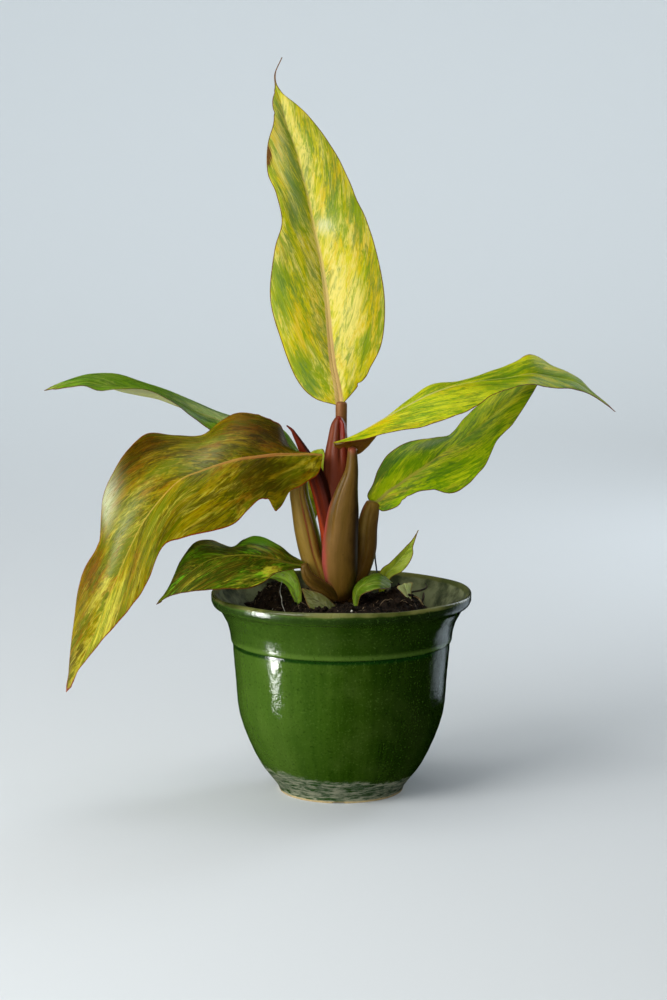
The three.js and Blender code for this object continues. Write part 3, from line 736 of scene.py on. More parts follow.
stalk(
    "petiole_left_front",
    [
        (-28, -18, 235), (-30, -15, 222), (-30, -11, 209), (-28, -9, 197), (-25, -8, 182), (-21, -7, 165),
        (-14.5, -6, 148), (-7, -4, 136),
    ],
    [2.5, 4, 5, 6, 7, 7, 6.5, 5], [3, 4.5, 5.5, 6.5, 7, 7, 6.5, 5.5], TAN,
    folds=[(38, 20, 9, 1.3, 0.12, 0.9), (-30, -30, 12, 0.5, 0.2, 0.9)],
    spots={
        "green": [(-88, 0.4, 14, 0.35, 0.9)],
        "red": [(22, 0.5, 9, 0.3, 0.8)],
        # A painted highlight at the front left, and painted shade on the right and low on the left.
        "light": [(-20, 0.5, 25, 0.3, 0.5)],
        "dark": [(70, 0.6, 30, 0.4, 0.5), (-80, 0.75, 20, 0.2, 0.5)],
    },
)


# Left back petiole: a thinner stalk beside the front one, green on both sides, with one groove. It rises
# from the stem to the foot of the left back leaf.

stalk(
    "petiole_left_back",
    [
        (-26.5, 6, 234), (-27, 6, 219), (-26.5, 6, 207), (-23, 6, 192), (-19.5, 5, 177), (-14, 4, 159),
        (-8, 2, 143), (-4.5, 1, 135),
    ],
    [2.5, 3.5, 4, 4.5, 5, 5, 5, 4], [3, 4, 4.5, 5, 5, 5.5, 5.5, 5], TAN,
    folds=[(10, 10, 10, 1.0, 0.1, 0.9)],
    spots={"green": [(60, 0.4, 40, 0.4, 0.7), (-80, 0.3, 40, 0.4, 0.8)]},
)


# Back petiole: the short stalk of the leaf behind the crown, fleshy and greenish. It grows from the stem
# and leans back and to the left.

stalk(
    "petiole_back", [(-20, 14, 184.6), (-16, 13, 168), (-10.5, 9, 149), (-4.5, 5, 135)], [2, 3.5, 4, 4],
    [2.5, 4, 5, 5], TAN, spots={"green": [(0, 0.3, 180, 0.5, 0.7)]},
)


# Low left petiole: the stalk of the oldest small leaf, short, fleshy and dark olive. It comes out of the
# front of the stem just over the soil, and leans to the left and forwards.

stalk(
    "petiole_low_left",
    [(-26, -23, 163), (-23, -22.5, 154), (-17.5, -19, 148), (-10, -14, 142), (-4.5, -8, 137)],
    [2.5, 4, 5, 5, 4], [3, 4, 4.5, 5, 5], OLIVE,
    folds=[(-5, -5, 12, 0.8, 0.05, 0.9)],
    # Painted shade on its right side and a painted highlight on its left.
    spots={"dark": [(30, 0.7, 50, 0.4, 0.6)], "light": [(-40, 0.4, 20, 0.3, 0.6)]},
)


# Top petiole: the upright brown stalk of the top leaf, round and firm. It stands in the middle of the
# crown, on the stem, with the other stalks and the sheaths around it.

BROWN = stalk_finish(
    "petiole_brown", (114, 72, 40), (144, 100, 62), (170, 60, 50), (110, 100, 50), (84, 48, 22)
)
stalk(
    "petiole_top", [(0, 9, 271), (0, 9, 247), (0.5, 9, 216), (0.5, 7, 174), (0, 4, 133)], [4, 4, 4.5, 5, 5],
    # The light spot near its top, at the front left, is a painted highlight.
    [4, 4, 4.5, 5, 5], BROWN, spots={"light": [(-30, 0.05, 30, 0.2, 0.6)]},
)


# New sheath: the soft pink scale that wrapped the newest leaf, a folded hood around the top petiole. It is
# thin smooth tissue, red at its tip and edges, and grows from the stem.

PINK = stalk_finish(
    "sheath_pink", (90, 36, 18), (124, 66, 42), (118, 30, 16), (120, 96, 60), (70, 20, 6), rough=0.28
)
stalk(
    "sheath_new",
    [
        (-2, -3, 262), (-2, -3, 256), (-2.5, -3, 245), (-3, -3, 231), (-3.5, -3, 214), (-3.5, -3, 193),
        (-3, -3, 162), (-2.5, -3, 139),
    ],
    [1.5, 5, 7, 9, 9, 8, 7, 5.5], [2, 4.5, 6, 7, 7, 7, 6, 6], PINK, "sheath_pink",
    folds=[(12, 20, 10, 1.4, 0.03, 0.5), (40, 34, 10, -1.0, 0.02, 0.4), (-45, -45, 12, 0.5, 0.1, 0.8)],
    spots={
        "red": [(20, 0.12, 18, 0.12, 0.8), (60, 0.2, 40, 0.3, 0.9), (0, 0.0, 180, 0.03, 0.8)],
        # Painted highlights at its front left and high on its front, and painted shade inside its fold.
        "light": [(-50, 0.25, 25, 0.3, 0.6), (15, 0.30, 12, 0.06, 0.9)],
        "dark": [(12, 0.2, 8, 0.14, 0.8)],
    },
)


# Old sheath: the scale of the leaf before, dried to a stiff dark red strip with a curled point. It still
# clings to the stem and leans out between the petioles on the left.

RED = stalk_finish(
    "sheath_red", (84, 24, 6), (126, 42, 14), (164, 60, 26), (70, 40, 16), (34, 8, 4), rough=0.34
)
stalk(
    "sheath_old",
    [
        (-37.5, -9, 256), (-34, -9, 253), (-32, -9, 250), (-25, -8, 237), (-17, -8, 220), (-12, -8, 201),
        (-8.5, -7, 177), (-7, -6, 155), (-3.5, -5, 140),
    ],
    [0.5, 1, 1.5, 3.5, 6, 6, 5.5, 5.5, 5], [0.5, 1, 1.5, 3, 4, 5, 6, 6, 6], RED, "sheath_red",
    folds=[(-20, -20, 16, 1.2, 0.3, 0.9), (30, 30, 10, -0.8, 0.3, 0.8)],
    spots={
        "red": [(-62, 0.60, 18, 0.22, 1.0), (-40, 0.78, 20, 0.12, 0.8), (-70, 0.4, 14, 0.1, 0.4)],
        # Painted shade on its right side and a painted highlight at its front.
        "dark": [(50, 0.5, 40, 0.3, 0.9)],
        "light": [(-10, 0.55, 20, 0.2, 0.4)],
    },
    caps=(0.6, 1.5),
)


# Top leaf: the newest full blade, upright, thick and waxy, lime yellow over cream with green streaks that
# follow its side veins. It carries a fleshy tan midrib, a fine red-brown margin, a rolled brown scar on
# the left edge and a long dry drip tip.

LEAF_MASKS = ("green", "light", "ochre", "dark", "bloom", "aged")
LEAF_LAYERS = (
    ("Light", "Pale", 0.0, 5.5, 6.0, 0.7), ("Ochre", "Warm", 11.0, 5.0, 6.0, 0.75),
    ("Green", "Leafy", 23.0, 4.5, 5.4, 0.85), ("Dark", "Deep", 37.0, 4.5, 5.4, 0.8),
)
RIB_STEPS = 200
VEIN_GAP = 6.5
AGEING = tone(176, 148, 60)
# A whitish colour for painted sheen and glints.
PAINTED_SHEEN = tone(196, 204, 170)
variegation, nodes, taken = shared_group(
    "variegation",
    {
        "Veins": "Vector", "Seed": "Float", **{label.capitalize(): "Float" for label in LEAF_MASKS},
        **dict.fromkeys(("Ground", "Leafy", "Pale", "Warm", "Deep"), "Color"),
    },
    {"Colour": "Color", "Relief": "Float"},
)
flat = nodes.vectors("MULTIPLY", taken["Veins"], (1, 1, 0))
flat = nodes.vectors("ADD", flat, nodes.put("ShaderNodeCombineXYZ", {2: taken["Seed"]}))
drift = nodes.grain(nodes.scaled(flat, (0.05, 0.05, 1)), 1.0, 3.0, 0.6).node.outputs[1]
drift = nodes.vectors("MULTIPLY", nodes.vectors("SUBTRACT", drift, (0.5, 0.5, 0.5)), (16, 9, 0))
flat = nodes.vectors("ADD", flat, drift)


def strokes(shift, length, width):
    """Streaks along the side veins, length by width in mm, spread evenly between 0 and 1."""
    broad = nodes.grain(nodes.scaled(flat, (1 / length, 1 / width, 1), (0, 0, shift)), 1.0, 2.0, 0.55)
    finer = (3.6 / length, 2.5 / width, 1)
    fine = nodes.grain(nodes.scaled(flat, finer, (0, 0, shift + 3.3)), 1.0, 2.0, 0.6)
    cloud = nodes.grain(nodes.scaled(flat, (1 / 12, 1 / 24, 1), (0, 0, shift + 6.1)), 1.0, 2.0, 0.5)
    total = nodes.plus(nodes.times(broad, 0.32), nodes.times(fine, 0.28))
    total = nodes.plus(total, nodes.times(cloud, 0.46))
    return nodes.plus(nodes.times(nodes.minus(total, 0.53), 4.4), 0.5)


leaf = taken["Ground"]
for mask, tint, shift, length, width, most in LEAF_LAYERS:
    covered = nodes.step(nodes.plus(strokes(shift, length, width), taken[mask]), 0.66, 1.34)
    leaf = nodes.wash(leaf, covered, most, taken[tint])
threads = nodes.grain(nodes.scaled(flat, (1 / 4, 1 / 1.8, 1)), 1.0, 2.0, 0.6)
leaf = nodes.wash(leaf, nodes.step(threads, 0.52, 0.72), 0.18, taken["Pale"])
leaf = nodes.wash(leaf, nodes.step(threads, 0.48, 0.30), 0.22, taken["Leafy"])
multiplied = {"data_type": "RGBA", "blend_type": "MULTIPLY"}
aged = nodes.put("ShaderNodeMix", {0: 1.0, 6: leaf, 7: AGEING}, out=2, **multiplied)
leaf = nodes.blend(taken["Aged"], leaf, aged)
patchy = nodes.step(nodes.grain(nodes.scaled(flat, (0.4, 0.9, 1)), 1.0, 3.0), 0.25, 0.6)
# Painted sheen and glints, in patches, as a whitish wash over the colour.
leaf = nodes.wash(leaf, nodes.times(taken["Bloom"], patchy), 0.75, PAINTED_SHEEN)
relief = nodes.plus(nodes.times(strokes(50, 8, 5), 0.5), nodes.times(threads, 0.8))
put_out(variegation, Colour=leaf, Relief=relief)


def leaf_finish(name, ground, leafy, pale, warm, deep, rib, margin, under=None, under_share=0.8, seed=0.0,
                rough=0.36, rib_share=0.85, rib_end=0.5, line=0.8, tip=0.975, shine=0.14):
    """A waxy blade in five mixed colours, with its midrib, its margin and, if it differs, its underside.
    Colours run from 0 to 255. Rib_end and tip are stations along the blade, and line is the width of the
    margin in mm."""
    made = Finish(name, rough, shine)
    made.glow(0.3, (1.0, 0.9, 0.2), 0.0025)
    veins = made.vector("veins")
    colours = {"Ground": ground, "Leafy": leafy, "Pale": pale, "Warm": warm, "Deep": deep}
    inputs = {label.capitalize(): made.share(label) for label in LEAF_MASKS}
    inputs |= {label: tone(*colour) for label, colour in colours.items()}
    inputs |= {"Veins": veins, "Seed": seed}
    mixed = made.put("ShaderNodeGroup", inputs, node_tree=variegation).node.outputs
    leaf = mixed["Colour"]
    if under:
        leaf = made.wash(leaf, made.share("under"), under_share, tone(*under))

    pale, rib, margin = tone(*pale), tone(*rib), tone(*margin)
    station = made.share("station")
    fibres = made.grain(made.scaled(veins, (1.3, 0.03, 0)), 1.0, 3.0)
    stripe = made.blend(made.step(fibres, 0.40, 0.62), rib, made.blend(0.3, rib, pale))
    stripe = made.blend(made.step(station, rib_end * 0.3, rib_end), stripe, made.blend(0.5, pale, rib))
    strength = made.times(made.step(station, rib_end * 1.7, rib_end * 0.4), rib_share - 0.25)
    rib_mask = made.times(made.step(made.share("rib_share"), 1.05, 0.75), made.plus(strength, 0.25))
    leaf = made.blend(rib_mask, leaf, stripe)

    edge = made.put("ShaderNodeSeparateXYZ", {0: veins}).node.outputs[2]
    ragged = made.grain(made.scaled(veins, (0.25, 0.25, 0)), 1.0, 3.0)
    frayed = made.plus(edge, made.times(made.minus(ragged, 0.5), 0.6))
    scarred = made.step(made.times(made.share("scar"), ragged), 0.15, 0.40)
    for share in (made.step(frayed, line, line * 0.6), made.step(station, tip, tip + 0.02), scarred):
        leaf = made.blend(share, leaf, margin)
    made.link("Base Color", leaf)
    made.bump(mixed["Relief"], Distance=0.0003)
    return made


def spread(rib, left, right, across, length):
    """Points of the midrib, points of the margin that across runs to, and the way up from the blade. Near
    the tip, where the margins meet, the side way of the broad part stands in for theirs."""
    middle = along(rib, length)
    margins = [along(left, length), along(right, length)]
    ahead = heading(rib, length, 0.003)
    span = margins[1] - margins[0]
    breadth = np.linalg.norm(span, axis=1)
    shares = np.linspace(0, 1, RIB_STEPS)
    spans = along(right, shares) - along(left, shares)
    broad = spans[np.linalg.norm(spans, axis=1) > 5][-1]
    firm = np.where(length > 0.5, ramp(3, 8, breadth), 1)[:, None]
    side = span / np.maximum(breadth, 1e-6)[:, None]
    side = side * firm + broad / np.linalg.norm(broad) * (1 - firm)
    side -= ahead * np.sum(side * ahead, axis=1)[:, None] * (1 - firm)
    side = unit(side)
    half = side * np.maximum(breadth / 2, 0.35)[:, None]
    edges = [margin * firm + (middle + way * half) * (1 - firm) for margin, way in zip(margins, (-1, 1))]
    return middle, np.where(across[:, None] < 0, *edges), unit(np.cross(side, ahead))


def blade(name, node, finish, slot, rib, left, right, arch=0.08, thick=0.85, rib_wide=1.7, rib_deep=1.6,
          rise=1.0, waves=(0.3, 34, 0.0), columns=128, rows=160, masks=None, dents=(), edges=(),
          relief=0.16):
    """A leaf between its midrib and its two margins. Each mask is a level and spots of colour, and dents
    are lifted spots: (across, along, half width, half length, amount), where across runs from -1 at the
    left margin to 1. Edges are teeth and nicks of a margin: (side, along, half length, mm outwards)."""
    masks = dict.fromkeys((*LEAF_MASKS, "scar"), (0.0,)) | (masks or {})

    def place(around, length):
        upper = around < 0.5
        turn = np.where(upper, 4 * around - 1, 3 - 4 * around)
        across = turn - 0.12 * np.sin(2 * np.pi * turn)
        out = np.abs(across)
        middle, edge, up = spread(rib, left, right, across, length)
        width = np.linalg.norm(edge - middle, axis=1)
        for turned_to, station, reach, amount in edges:
            near = np.exp(-(((length - station) / reach) ** 2)) * out**2 * (across * turned_to > 0)
            edge = edge + (edge - middle) * (amount * near / np.maximum(width, 1))[:, None]

        travelled, total = travel(rib, length, RIB_STEPS)
        x = across * width
        lean = rise * (1 + 1.3 * length**2)
        vein = travelled - lean * np.abs(x) * (1 + 0.2 * out)
        fade = ramp(0, 12, width) * ramp(0, 0.06, length) * ramp(0, 0.05, 1 - length)
        height, wave_length, phase = waves
        wave = height * np.sin(2 * np.pi * travelled / wave_length + phase + 1.7 * (across > 0)) * out**2
        short = np.sin(2 * np.pi * travelled / (wave_length * 0.43) + 2 * phase + across * 2)
        wave += 0.6 * height * short * out**3
        ridges = relief * np.cos(2 * np.pi * vein / VEIN_GAP) * ramp(0.02, 0.25, out) * (1 - 0.6 * out)
        lift = 4 * out * (1 - out) * arch * width + (wave + ridges) * fade
        for spot, station, wide, reach, amount in dents:
            away = ((across - spot) / wide) ** 2 + ((length - station) / reach) ** 2
            lift += amount * np.exp(-away) * fade
        rib_half = np.minimum(rib_wide * (1 - length) ** 2 + 0.3, width * 0.8)
        share = np.abs(x) / np.maximum(rib_half, 1e-6)
        dip = np.exp(-((share / 0.55) ** 2)) - 1.2 * np.exp(-(((share - 1) / 0.3) ** 2))
        lift += 0.30 * (1 - length) * dip * fade
        point = middle + (edge - middle) * out[:, None] + up * lift[:, None]

        body = thick * np.sqrt(np.clip(1 - out**10, 0, 1)) * (0.55 + 0.45 * ramp(0, 10, width))
        bulge = rib_deep * (1 - 0.85 * length) * np.exp(-((share / 1.1) ** 2)) * ramp(1, 12, width)
        body = (body + bulge) * ramp(0, 1.5, travelled) ** 0.5 * ramp(0, 1.5, total - travelled) ** 0.5
        point -= np.where(upper, 0, 1)[:, None] * up * body[:, None]
        attributes = {
            "veins": np.column_stack([x * 0.5 * np.sqrt(1 + lean**2), vein, (1 - out) * width]),
            "rib_share": share,
            "station": length,
            "under": np.where(upper, 0.0, 1.0),
        }
        for label, (level, *spots) in masks.items():
            attributes[label] = spotted(across, length, spots, level=level)
        return point, attributes

    return finished(name, woven(columns, rows, place), finish, slot, node)


top_skin = leaf_finish(
    "top_leaf_skin", ground=(190, 180, 18), leafy=(112, 140, 10), pale=(214, 200, 114),
    warm=(198, 168, 8), deep=(90, 120, 44), rib=(172, 136, 84), margin=(96, 60, 24), seed=1.0,
    rib_share=0.95, rib_end=0.42,
)
blade(
    "blade_top", "leaf_top", top_skin, "leaf_yellow",
    rib=[
        (-1, 8, 268), (-3, 11, 282), (-6, 14, 297), (-8, 18, 316), (-10, 23, 338), (-14, 28, 366),
        (-19, 33, 389), (-22, 37, 405), (-26, 41, 422), (-31, 46, 441), (-38, 51, 460), (-42, 55, 475),
        (-45, 57, 485), (-46, 56, 495), (-41, 50, 506),
    ],
    left=[
        (-3, 7, 268), (-19, 9, 273), (-31, 9.9, 286), (-41, 10.6, 311), (-49, 14.9, 341), (-46, 15.7, 374),
        (-41, 21, 393), (-45, 27.8, 412), (-51, 34, 427), (-51, 38.8, 446), (-47, 46.3, 462),
        (-48, 53.4, 476),
        (-46, 56.4, 485), (-47, 56, 495), (-41, 50, 506),
    ],
    right=[
        (1, 7, 269), (10, 10, 279), (19, 11.9, 292), (28, 13.6, 311), (30, 17.9, 340), (25, 23.7, 370),
        (18, 30, 393), (11, 35.8, 408), (5, 41, 423), (-5, 45.8, 442), (-19, 51.3, 462), (-30, 54.4, 473),
        (-43, 56.4, 484), (-46, 56, 495), (-41, 50, 506),
    ],
    rise=1.5, rib_wide=3.2, waves=(0.4, 46, 0.6), rows=190,
    masks={
        "green": (0.38, (-0.85, 0.14, 0.35, 0.06, 0.5), (-0.8, 0.29, 0.25, 0.04, 0.4),
                  (-0.5, 0.5, 0.25, 0.1, 0.2),
                  (0.8, 0.2, 0.22, 0.04, 0.5), (0.75, 0.54, 0.25, 0.1, 0.3), (0.3, 0.25, 0.35, 0.16, -0.25),
                  (0.92, 0.47, 0.15, 0.04, 0.4), (-0.3, 0.1, 0.2, 0.05, 0.25)),
        "light": (0.36, (0.25, 0.24, 0.35, 0.2, 0.45), (0.8, 0.41, 0.22, 0.05, 0.6),
                  (-0.75, 0.66, 0.25, 0.06, 0.5),
                  (-0.9, 0.36, 0.2, 0.04, 0.7), (-0.2, 0.4, 0.15, 0.08, 0.3), (0.15, 0.66, 0.3, 0.08, 0.35),
                  (0.1, 0.8, 0.5, 0.08, 0.3)),
        "ochre": (0.22, (0.8, 0.31, 0.25, 0.12, 0.5), (-0.55, 0.24, 0.3, 0.06, 0.4),
                  (-0.75, 0.7, 0.2, 0.05, 0.3),
                  (0.5, 0.58, 0.3, 0.1, 0.2)),
        "dark": (0.20, (-0.4, 0.58, 0.25, 0.12, 0.4), (-0.55, 0.47, 0.2, 0.05, 0.3),
                 (0.5, 0.62, 0.35, 0.1, 0.2),
                 (-0.6, 0.3, 0.3, 0.08, 0.15)),
        # Painted glints, mostly on its left half.
        "bloom": (0.0, (-0.5, 0.64, 0.25, 0.08, 0.3), (-0.5, 0.5, 0.15, 0.06, 0.25),
                  (0.2, 0.43, 0.14, 0.02, 0.9)),
        "scar": (0.0, (-0.98, 0.615, 0.16, 0.035, 1.0)),
    },
    dents=[(-0.5, 0.45, 0.3, 0.06, -1.2), (0.5, 0.3, 0.4, 0.1, 0.8)],
    edges=[(1, 0.093, 0.006, -1.6), (1, 0.125, 0.02, 0.8), (-1, 0.745, 0.008, -0.8)],
)


# Upper right leaf: a broad young blade seen nearly edge on, bright yellow green, that turns greener
# towards its tip. It is creased along a pale midrib, its near margin rolls under to brown, and it ends in
# a fine dry tip. Its foot is fused to the top of the right front petiole.

right_upper_skin = leaf_finish(
    "right_upper_skin", ground=(188, 196, 2), leafy=(104, 146, 0), pale=(212, 210, 44),
    warm=(206, 172, 4), deep=(72, 112, 4), rib=(176, 168, 120), margin=(96, 44, 18),
    under=(104, 52, 14), under_share=0.95, seed=2.0, rib_share=0.7, rib_end=0.6, tip=0.93,
)
blade(
    "blade_right_upper", "leaf_right_upper", right_upper_skin, "leaf_yellow",
    rib=[
        (-5, -16, 245), (4, -16, 248), (15, -13, 253), (28, -8, 260), (42, 0, 267), (62, 10, 276),
        (80, 20, 281), (98, 31, 283), (117, 43, 284), (134, 54, 286), (150, 65, 283), (168, 74, 278),
        (180, 80, 270), (191, 82, 262), (198, 83, 256),
    ],
    left=[
        (-5, -10, 242), (1, -5, 237), (13, -1, 236), (30, 8, 254), (45, 20, 269), (63, 34, 280),
        (85, 44, 281), (105, 55, 287), (122, 65, 293), (136, 74, 298), (152, 80, 290), (170, 83, 281),
        (181, 82, 271), (191, 83, 263), (198, 83, 256),
    ],
    right=[
        (-6, -20, 245), (4, -28, 247), (19, -32, 250), (36, -30, 254), (56, -24, 257), (78, -14, 263),
        (93, -4, 269), (106, 8, 276), (120, 22, 279), (134, 36, 280), (150, 50, 276), (166, 64, 274),
        (179, 77, 269), (190, 81, 262), (198, 83, 256),
    ],
    rise=1.8, rib_wide=1.8, waves=(0.25, 40, 1.0),
    masks={
        "green": (0.38, (0, 0.5, 1, 0.12, 0.12), (0.2, 0.72, 1, 0.17, 0.3), (0, 0.88, 1, 0.1, 0.3)),
        "light": (0.22, (0.3, 0.2, 0.6, 0.12, 0.4), (-0.5, 0.6, 0.3, 0.1, 0.3)),
        "ochre": (0.24, (0.3, 0.18, 0.5, 0.06, 0.35)),
        "dark": (0.24, (0, 0.65, 0.8, 0.12, 0.2), (0.2, 0.45, 0.8, 0.1, 0.12)),
    },
)


# Lower right leaf: hangs behind the upper one on its own petiole, green with yellow green streaks, folded
# along a crease on its far half that carries painted shade and sheen, with a pinkish tan midrib and small
# nicks in its lower edge. A painted shadow darkens its left edge near its foot.

right_lower_skin = leaf_finish(
    "right_lower_skin", ground=(160, 186, 4), leafy=(94, 144, 4), pale=(222, 224, 32),
    warm=(184, 156, 50), deep=(50, 98, 30), rib=(150, 136, 76), margin=(90, 56, 18),
    under=(120, 140, 60), seed=3.0, rib_share=0.75, rib_end=0.5,
)
blade(
    "blade_right_lower", "leaf_right_lower", right_lower_skin, "leaf_green",
    rib=[
        (22, 5, 200), (27, 7, 203), (33, 10, 208), (40, 14, 212), (49, 19, 218), (59, 25, 224),
        (70, 32, 231), (82, 39, 238), (95, 47, 247), (108, 55, 257), (121, 63, 268), (133, 71, 276),
        (143, 78, 280),
    ],
    left=[
        (21, 6, 200), (18, 9, 205), (22, 14, 213), (26, 20, 223), (34, 27, 233), (48, 36, 240),
        (63, 46, 241), (77, 54, 243), (87, 60, 253), (98, 66, 263), (113, 72, 272), (129, 77, 278),
        (143, 78, 280),
    ],
    right=[
        (24, 4, 198), (29, 3, 195), (38, 3, 198), (45, 5, 204), (54, 8, 208), (64, 10, 209),
        (76, 13, 206), (89, 20, 212), (101, 29, 225), (110, 40, 240), (122, 52, 251), (135, 66, 268),
        (143, 77, 280),
    ],
    rise=1.7, rib_wide=1.6, waves=(0.3, 30, 0.4),
    masks={
        "green": (0.44, (0.5, 0.45, 0.3, 0.15, 0.15), (-0.6, 0.3, 0.4, 0.15, 0.15)),
        "light": (0.3, (0.2, 0.6, 0.4, 0.2, 0.25), (-0.2, 0.84, 0.7, 0.12, 0.8),
                  (-0.4, 0.4, 0.2, 0.1, 0.2)),
        "ochre": (0.08, (0.05, 0.3, 0.15, 0.12, 0.4), (0.1, 0.5, 0.2, 0.1, 0.25),
                  (0, 0.08, 0.8, 0.07, 0.3)),
        # Painted shadow on the left edge near the foot and painted shade in the crease.
        "dark": (0.22, (-0.65, 0.5, 0.25, 0.14, 0.5), (-0.85, 0.25, 0.2, 0.12, 0.55),
                 (0.8, 0.1, 0.3, 0.08, 0.4)),
        # A painted sheen in the crease.
        "bloom": (0.0, (-0.7, 0.5, 0.16, 0.1, 0.4)),
    },
    edges=[(1, 0.22, 0.012, -0.8), (1, 0.26, 0.01, -0.6), (1, 0.66, 0.03, 0.9)],
)


# Left front leaf: the largest and oldest blade, which arches over and hangs to a long point. It is olive
# and ochre brown by its foot, streaked yellow and green, and pale towards its tip, with an orange pink
# midrib, a red brown margin that has one sharp tooth, and a painted sheen where it bends.

left_front_skin = leaf_finish(
    "left_front_skin", ground=(148, 134, 0), leafy=(92, 108, 0), pale=(206, 198, 72),
    warm=(128, 76, 2), deep=(64, 58, 2), rib=(164, 98, 56), margin=(112, 40, 10),
    under=(120, 92, 40), under_share=0.6, seed=4.0, rib_share=0.7, rib_end=0.62, rough=0.34, line=0.95,
    tip=0.965, shine=0.07,
)
blade(
    "blade_left_front", "leaf_left_front", left_front_skin, "leaf_ochre",
    rib=[
        (-13, -14, 237), (-22, -18, 238), (-33, -22, 238), (-45, -26, 238), (-57, -30, 237),
        (-68, -34, 236), (-81, -38, 233), (-94, -43, 229), (-107, -48, 224), (-119, -54, 213),
        (-131, -60, 198), (-140, -65, 181), (-148, -69, 163), (-156, -71, 145), (-164, -73, 124),
        (-173, -75, 106), (-180, -76, 92), (-183, -76, 85),
    ],
    left=[
        (-13, -17, 234), (-16, -22, 224), (-27, -29, 217), (-43, -38, 202), (-53, -43, 210),
        (-63, -50, 203), (-73, -55, 194), (-89, -61, 190), (-106, -66, 187), (-118, -71, 182),
        (-126, -76, 164), (-133, -79, 151), (-142, -80, 139), (-153, -81, 127), (-165, -80, 112),
        (-174, -78.5, 101), (-178.5, -77, 91), (-183, -76, 85),
    ],
    right=[
        (-13, -10, 235), (-24, -8, 236), (-35, -2, 239), (-42, 6, 253), (-56, 10, 261), (-70, 10, 263),
        (-82, 6, 258), (-95, 0, 249), (-113, -6, 249), (-133, -12, 250), (-149, -24, 235),
        (-160, -36, 212), (-162, -46, 189), (-164, -54, 176), (-174, -61, 159), (-178, -68, 132),
        (-181.5, -74, 98), (-183, -76, 85),
    ],
    rise=1.2, rib_wide=1.9, waves=(0.4, 44, 2.0), rows=220,
    masks={
        "green": (0.42, (0.25, 0.66, 0.25, 0.07, 0.35), (-0.3, 0.55, 0.4, 0.1, 0.2),
                  (0.2, 0.36, 0.3, 0.08, 0.2),
                  (-0.3, 0.14, 0.4, 0.08, 0.25)),
        "light": (0.16, (-0.35, 0.80, 0.6, 0.08, 0.65), (0.2, 0.61, 0.3, 0.05, 0.4),
                  (0, 0.91, 0.7, 0.04, 0.5), (-0.45, 0.75, 0.4, 0.06, 0.4),
                  (-0.5, 0.44, 0.4, 0.1, 0.25), (-0.25, 0.12, 0.3, 0.05, 0.4)),
        "ochre": (0.30, (0.7, 0.34, 0.4, 0.08, 0.5), (0.5, 0.22, 0.4, 0.1, 0.3),
                  (-0.75, 0.3, 0.2, 0.05, 0.4),
                  (0.85, 0.54, 0.3, 0.06, 0.5), (0.8, 0.78, 0.4, 0.1, 0.45)),
        "dark": (0.28, (0.6, 0.18, 0.6, 0.1, 0.45), (-0.5, 0.22, 0.5, 0.12, 0.45),
                 (0.8, 0.5, 0.3, 0.08, 0.35),
                 (-0.4, 0.4, 0.4, 0.08, 0.2), (0.0, 0.82, 1.0, 0.08, -0.2), (0.8, 0.95, 0.4, 0.05, 0.4)),
        # A painted sheen where it bends, and two smaller ones.
        "bloom": (0.0, (0.82, 0.645, 0.26, 0.032, 1.1), (0.25, 0.4, 0.3, 0.05, 0.2),
                  (0.25, 0.66, 0.1, 0.08, 0.3)),
        "aged": (0.2, (0.55, 0.2, 0.6, 0.12, 0.9), (-0.5, 0.2, 0.6, 0.12, 0.5),
                 (0.85, 0.55, 0.35, 0.07, 0.9),
                 (-0.4, 0.8, 0.8, 0.14, -0.25), (0.85, 0.78, 0.4, 0.1, 0.5)),
        "scar": (0.0, (1.0, 0.19, 0.08, 0.08, 0.8)),
    },
    edges=[(-1, 0.145, 0.016, -4.5), (-1, 0.208, 0.012, -3.0), (-1, 0.184, 0.006, 1.5),
           (1, 0.775, 0.03, 1.6),
           (1, 0.178, 0.018, 3.0), (1, 0.208, 0.006, 0.8), (1, 0.152, 0.006, -1.0), (1, 0.132, 0.005, 0.8),
           (1, 0.24, 0.006, 0.7)],
    dents=[(0.8, 0.58, 0.25, 0.05, 1.5), (-0.5, 0.5, 0.35, 0.06, 1.0)],
)


# Left back leaf: a thinner blade that reaches back to the left behind the front one, seen edge on. It is
# green with lighter streaks above and pale grey green below, with a pale midrib stripe and a tan tip, and
# sits on top of the left back petiole.

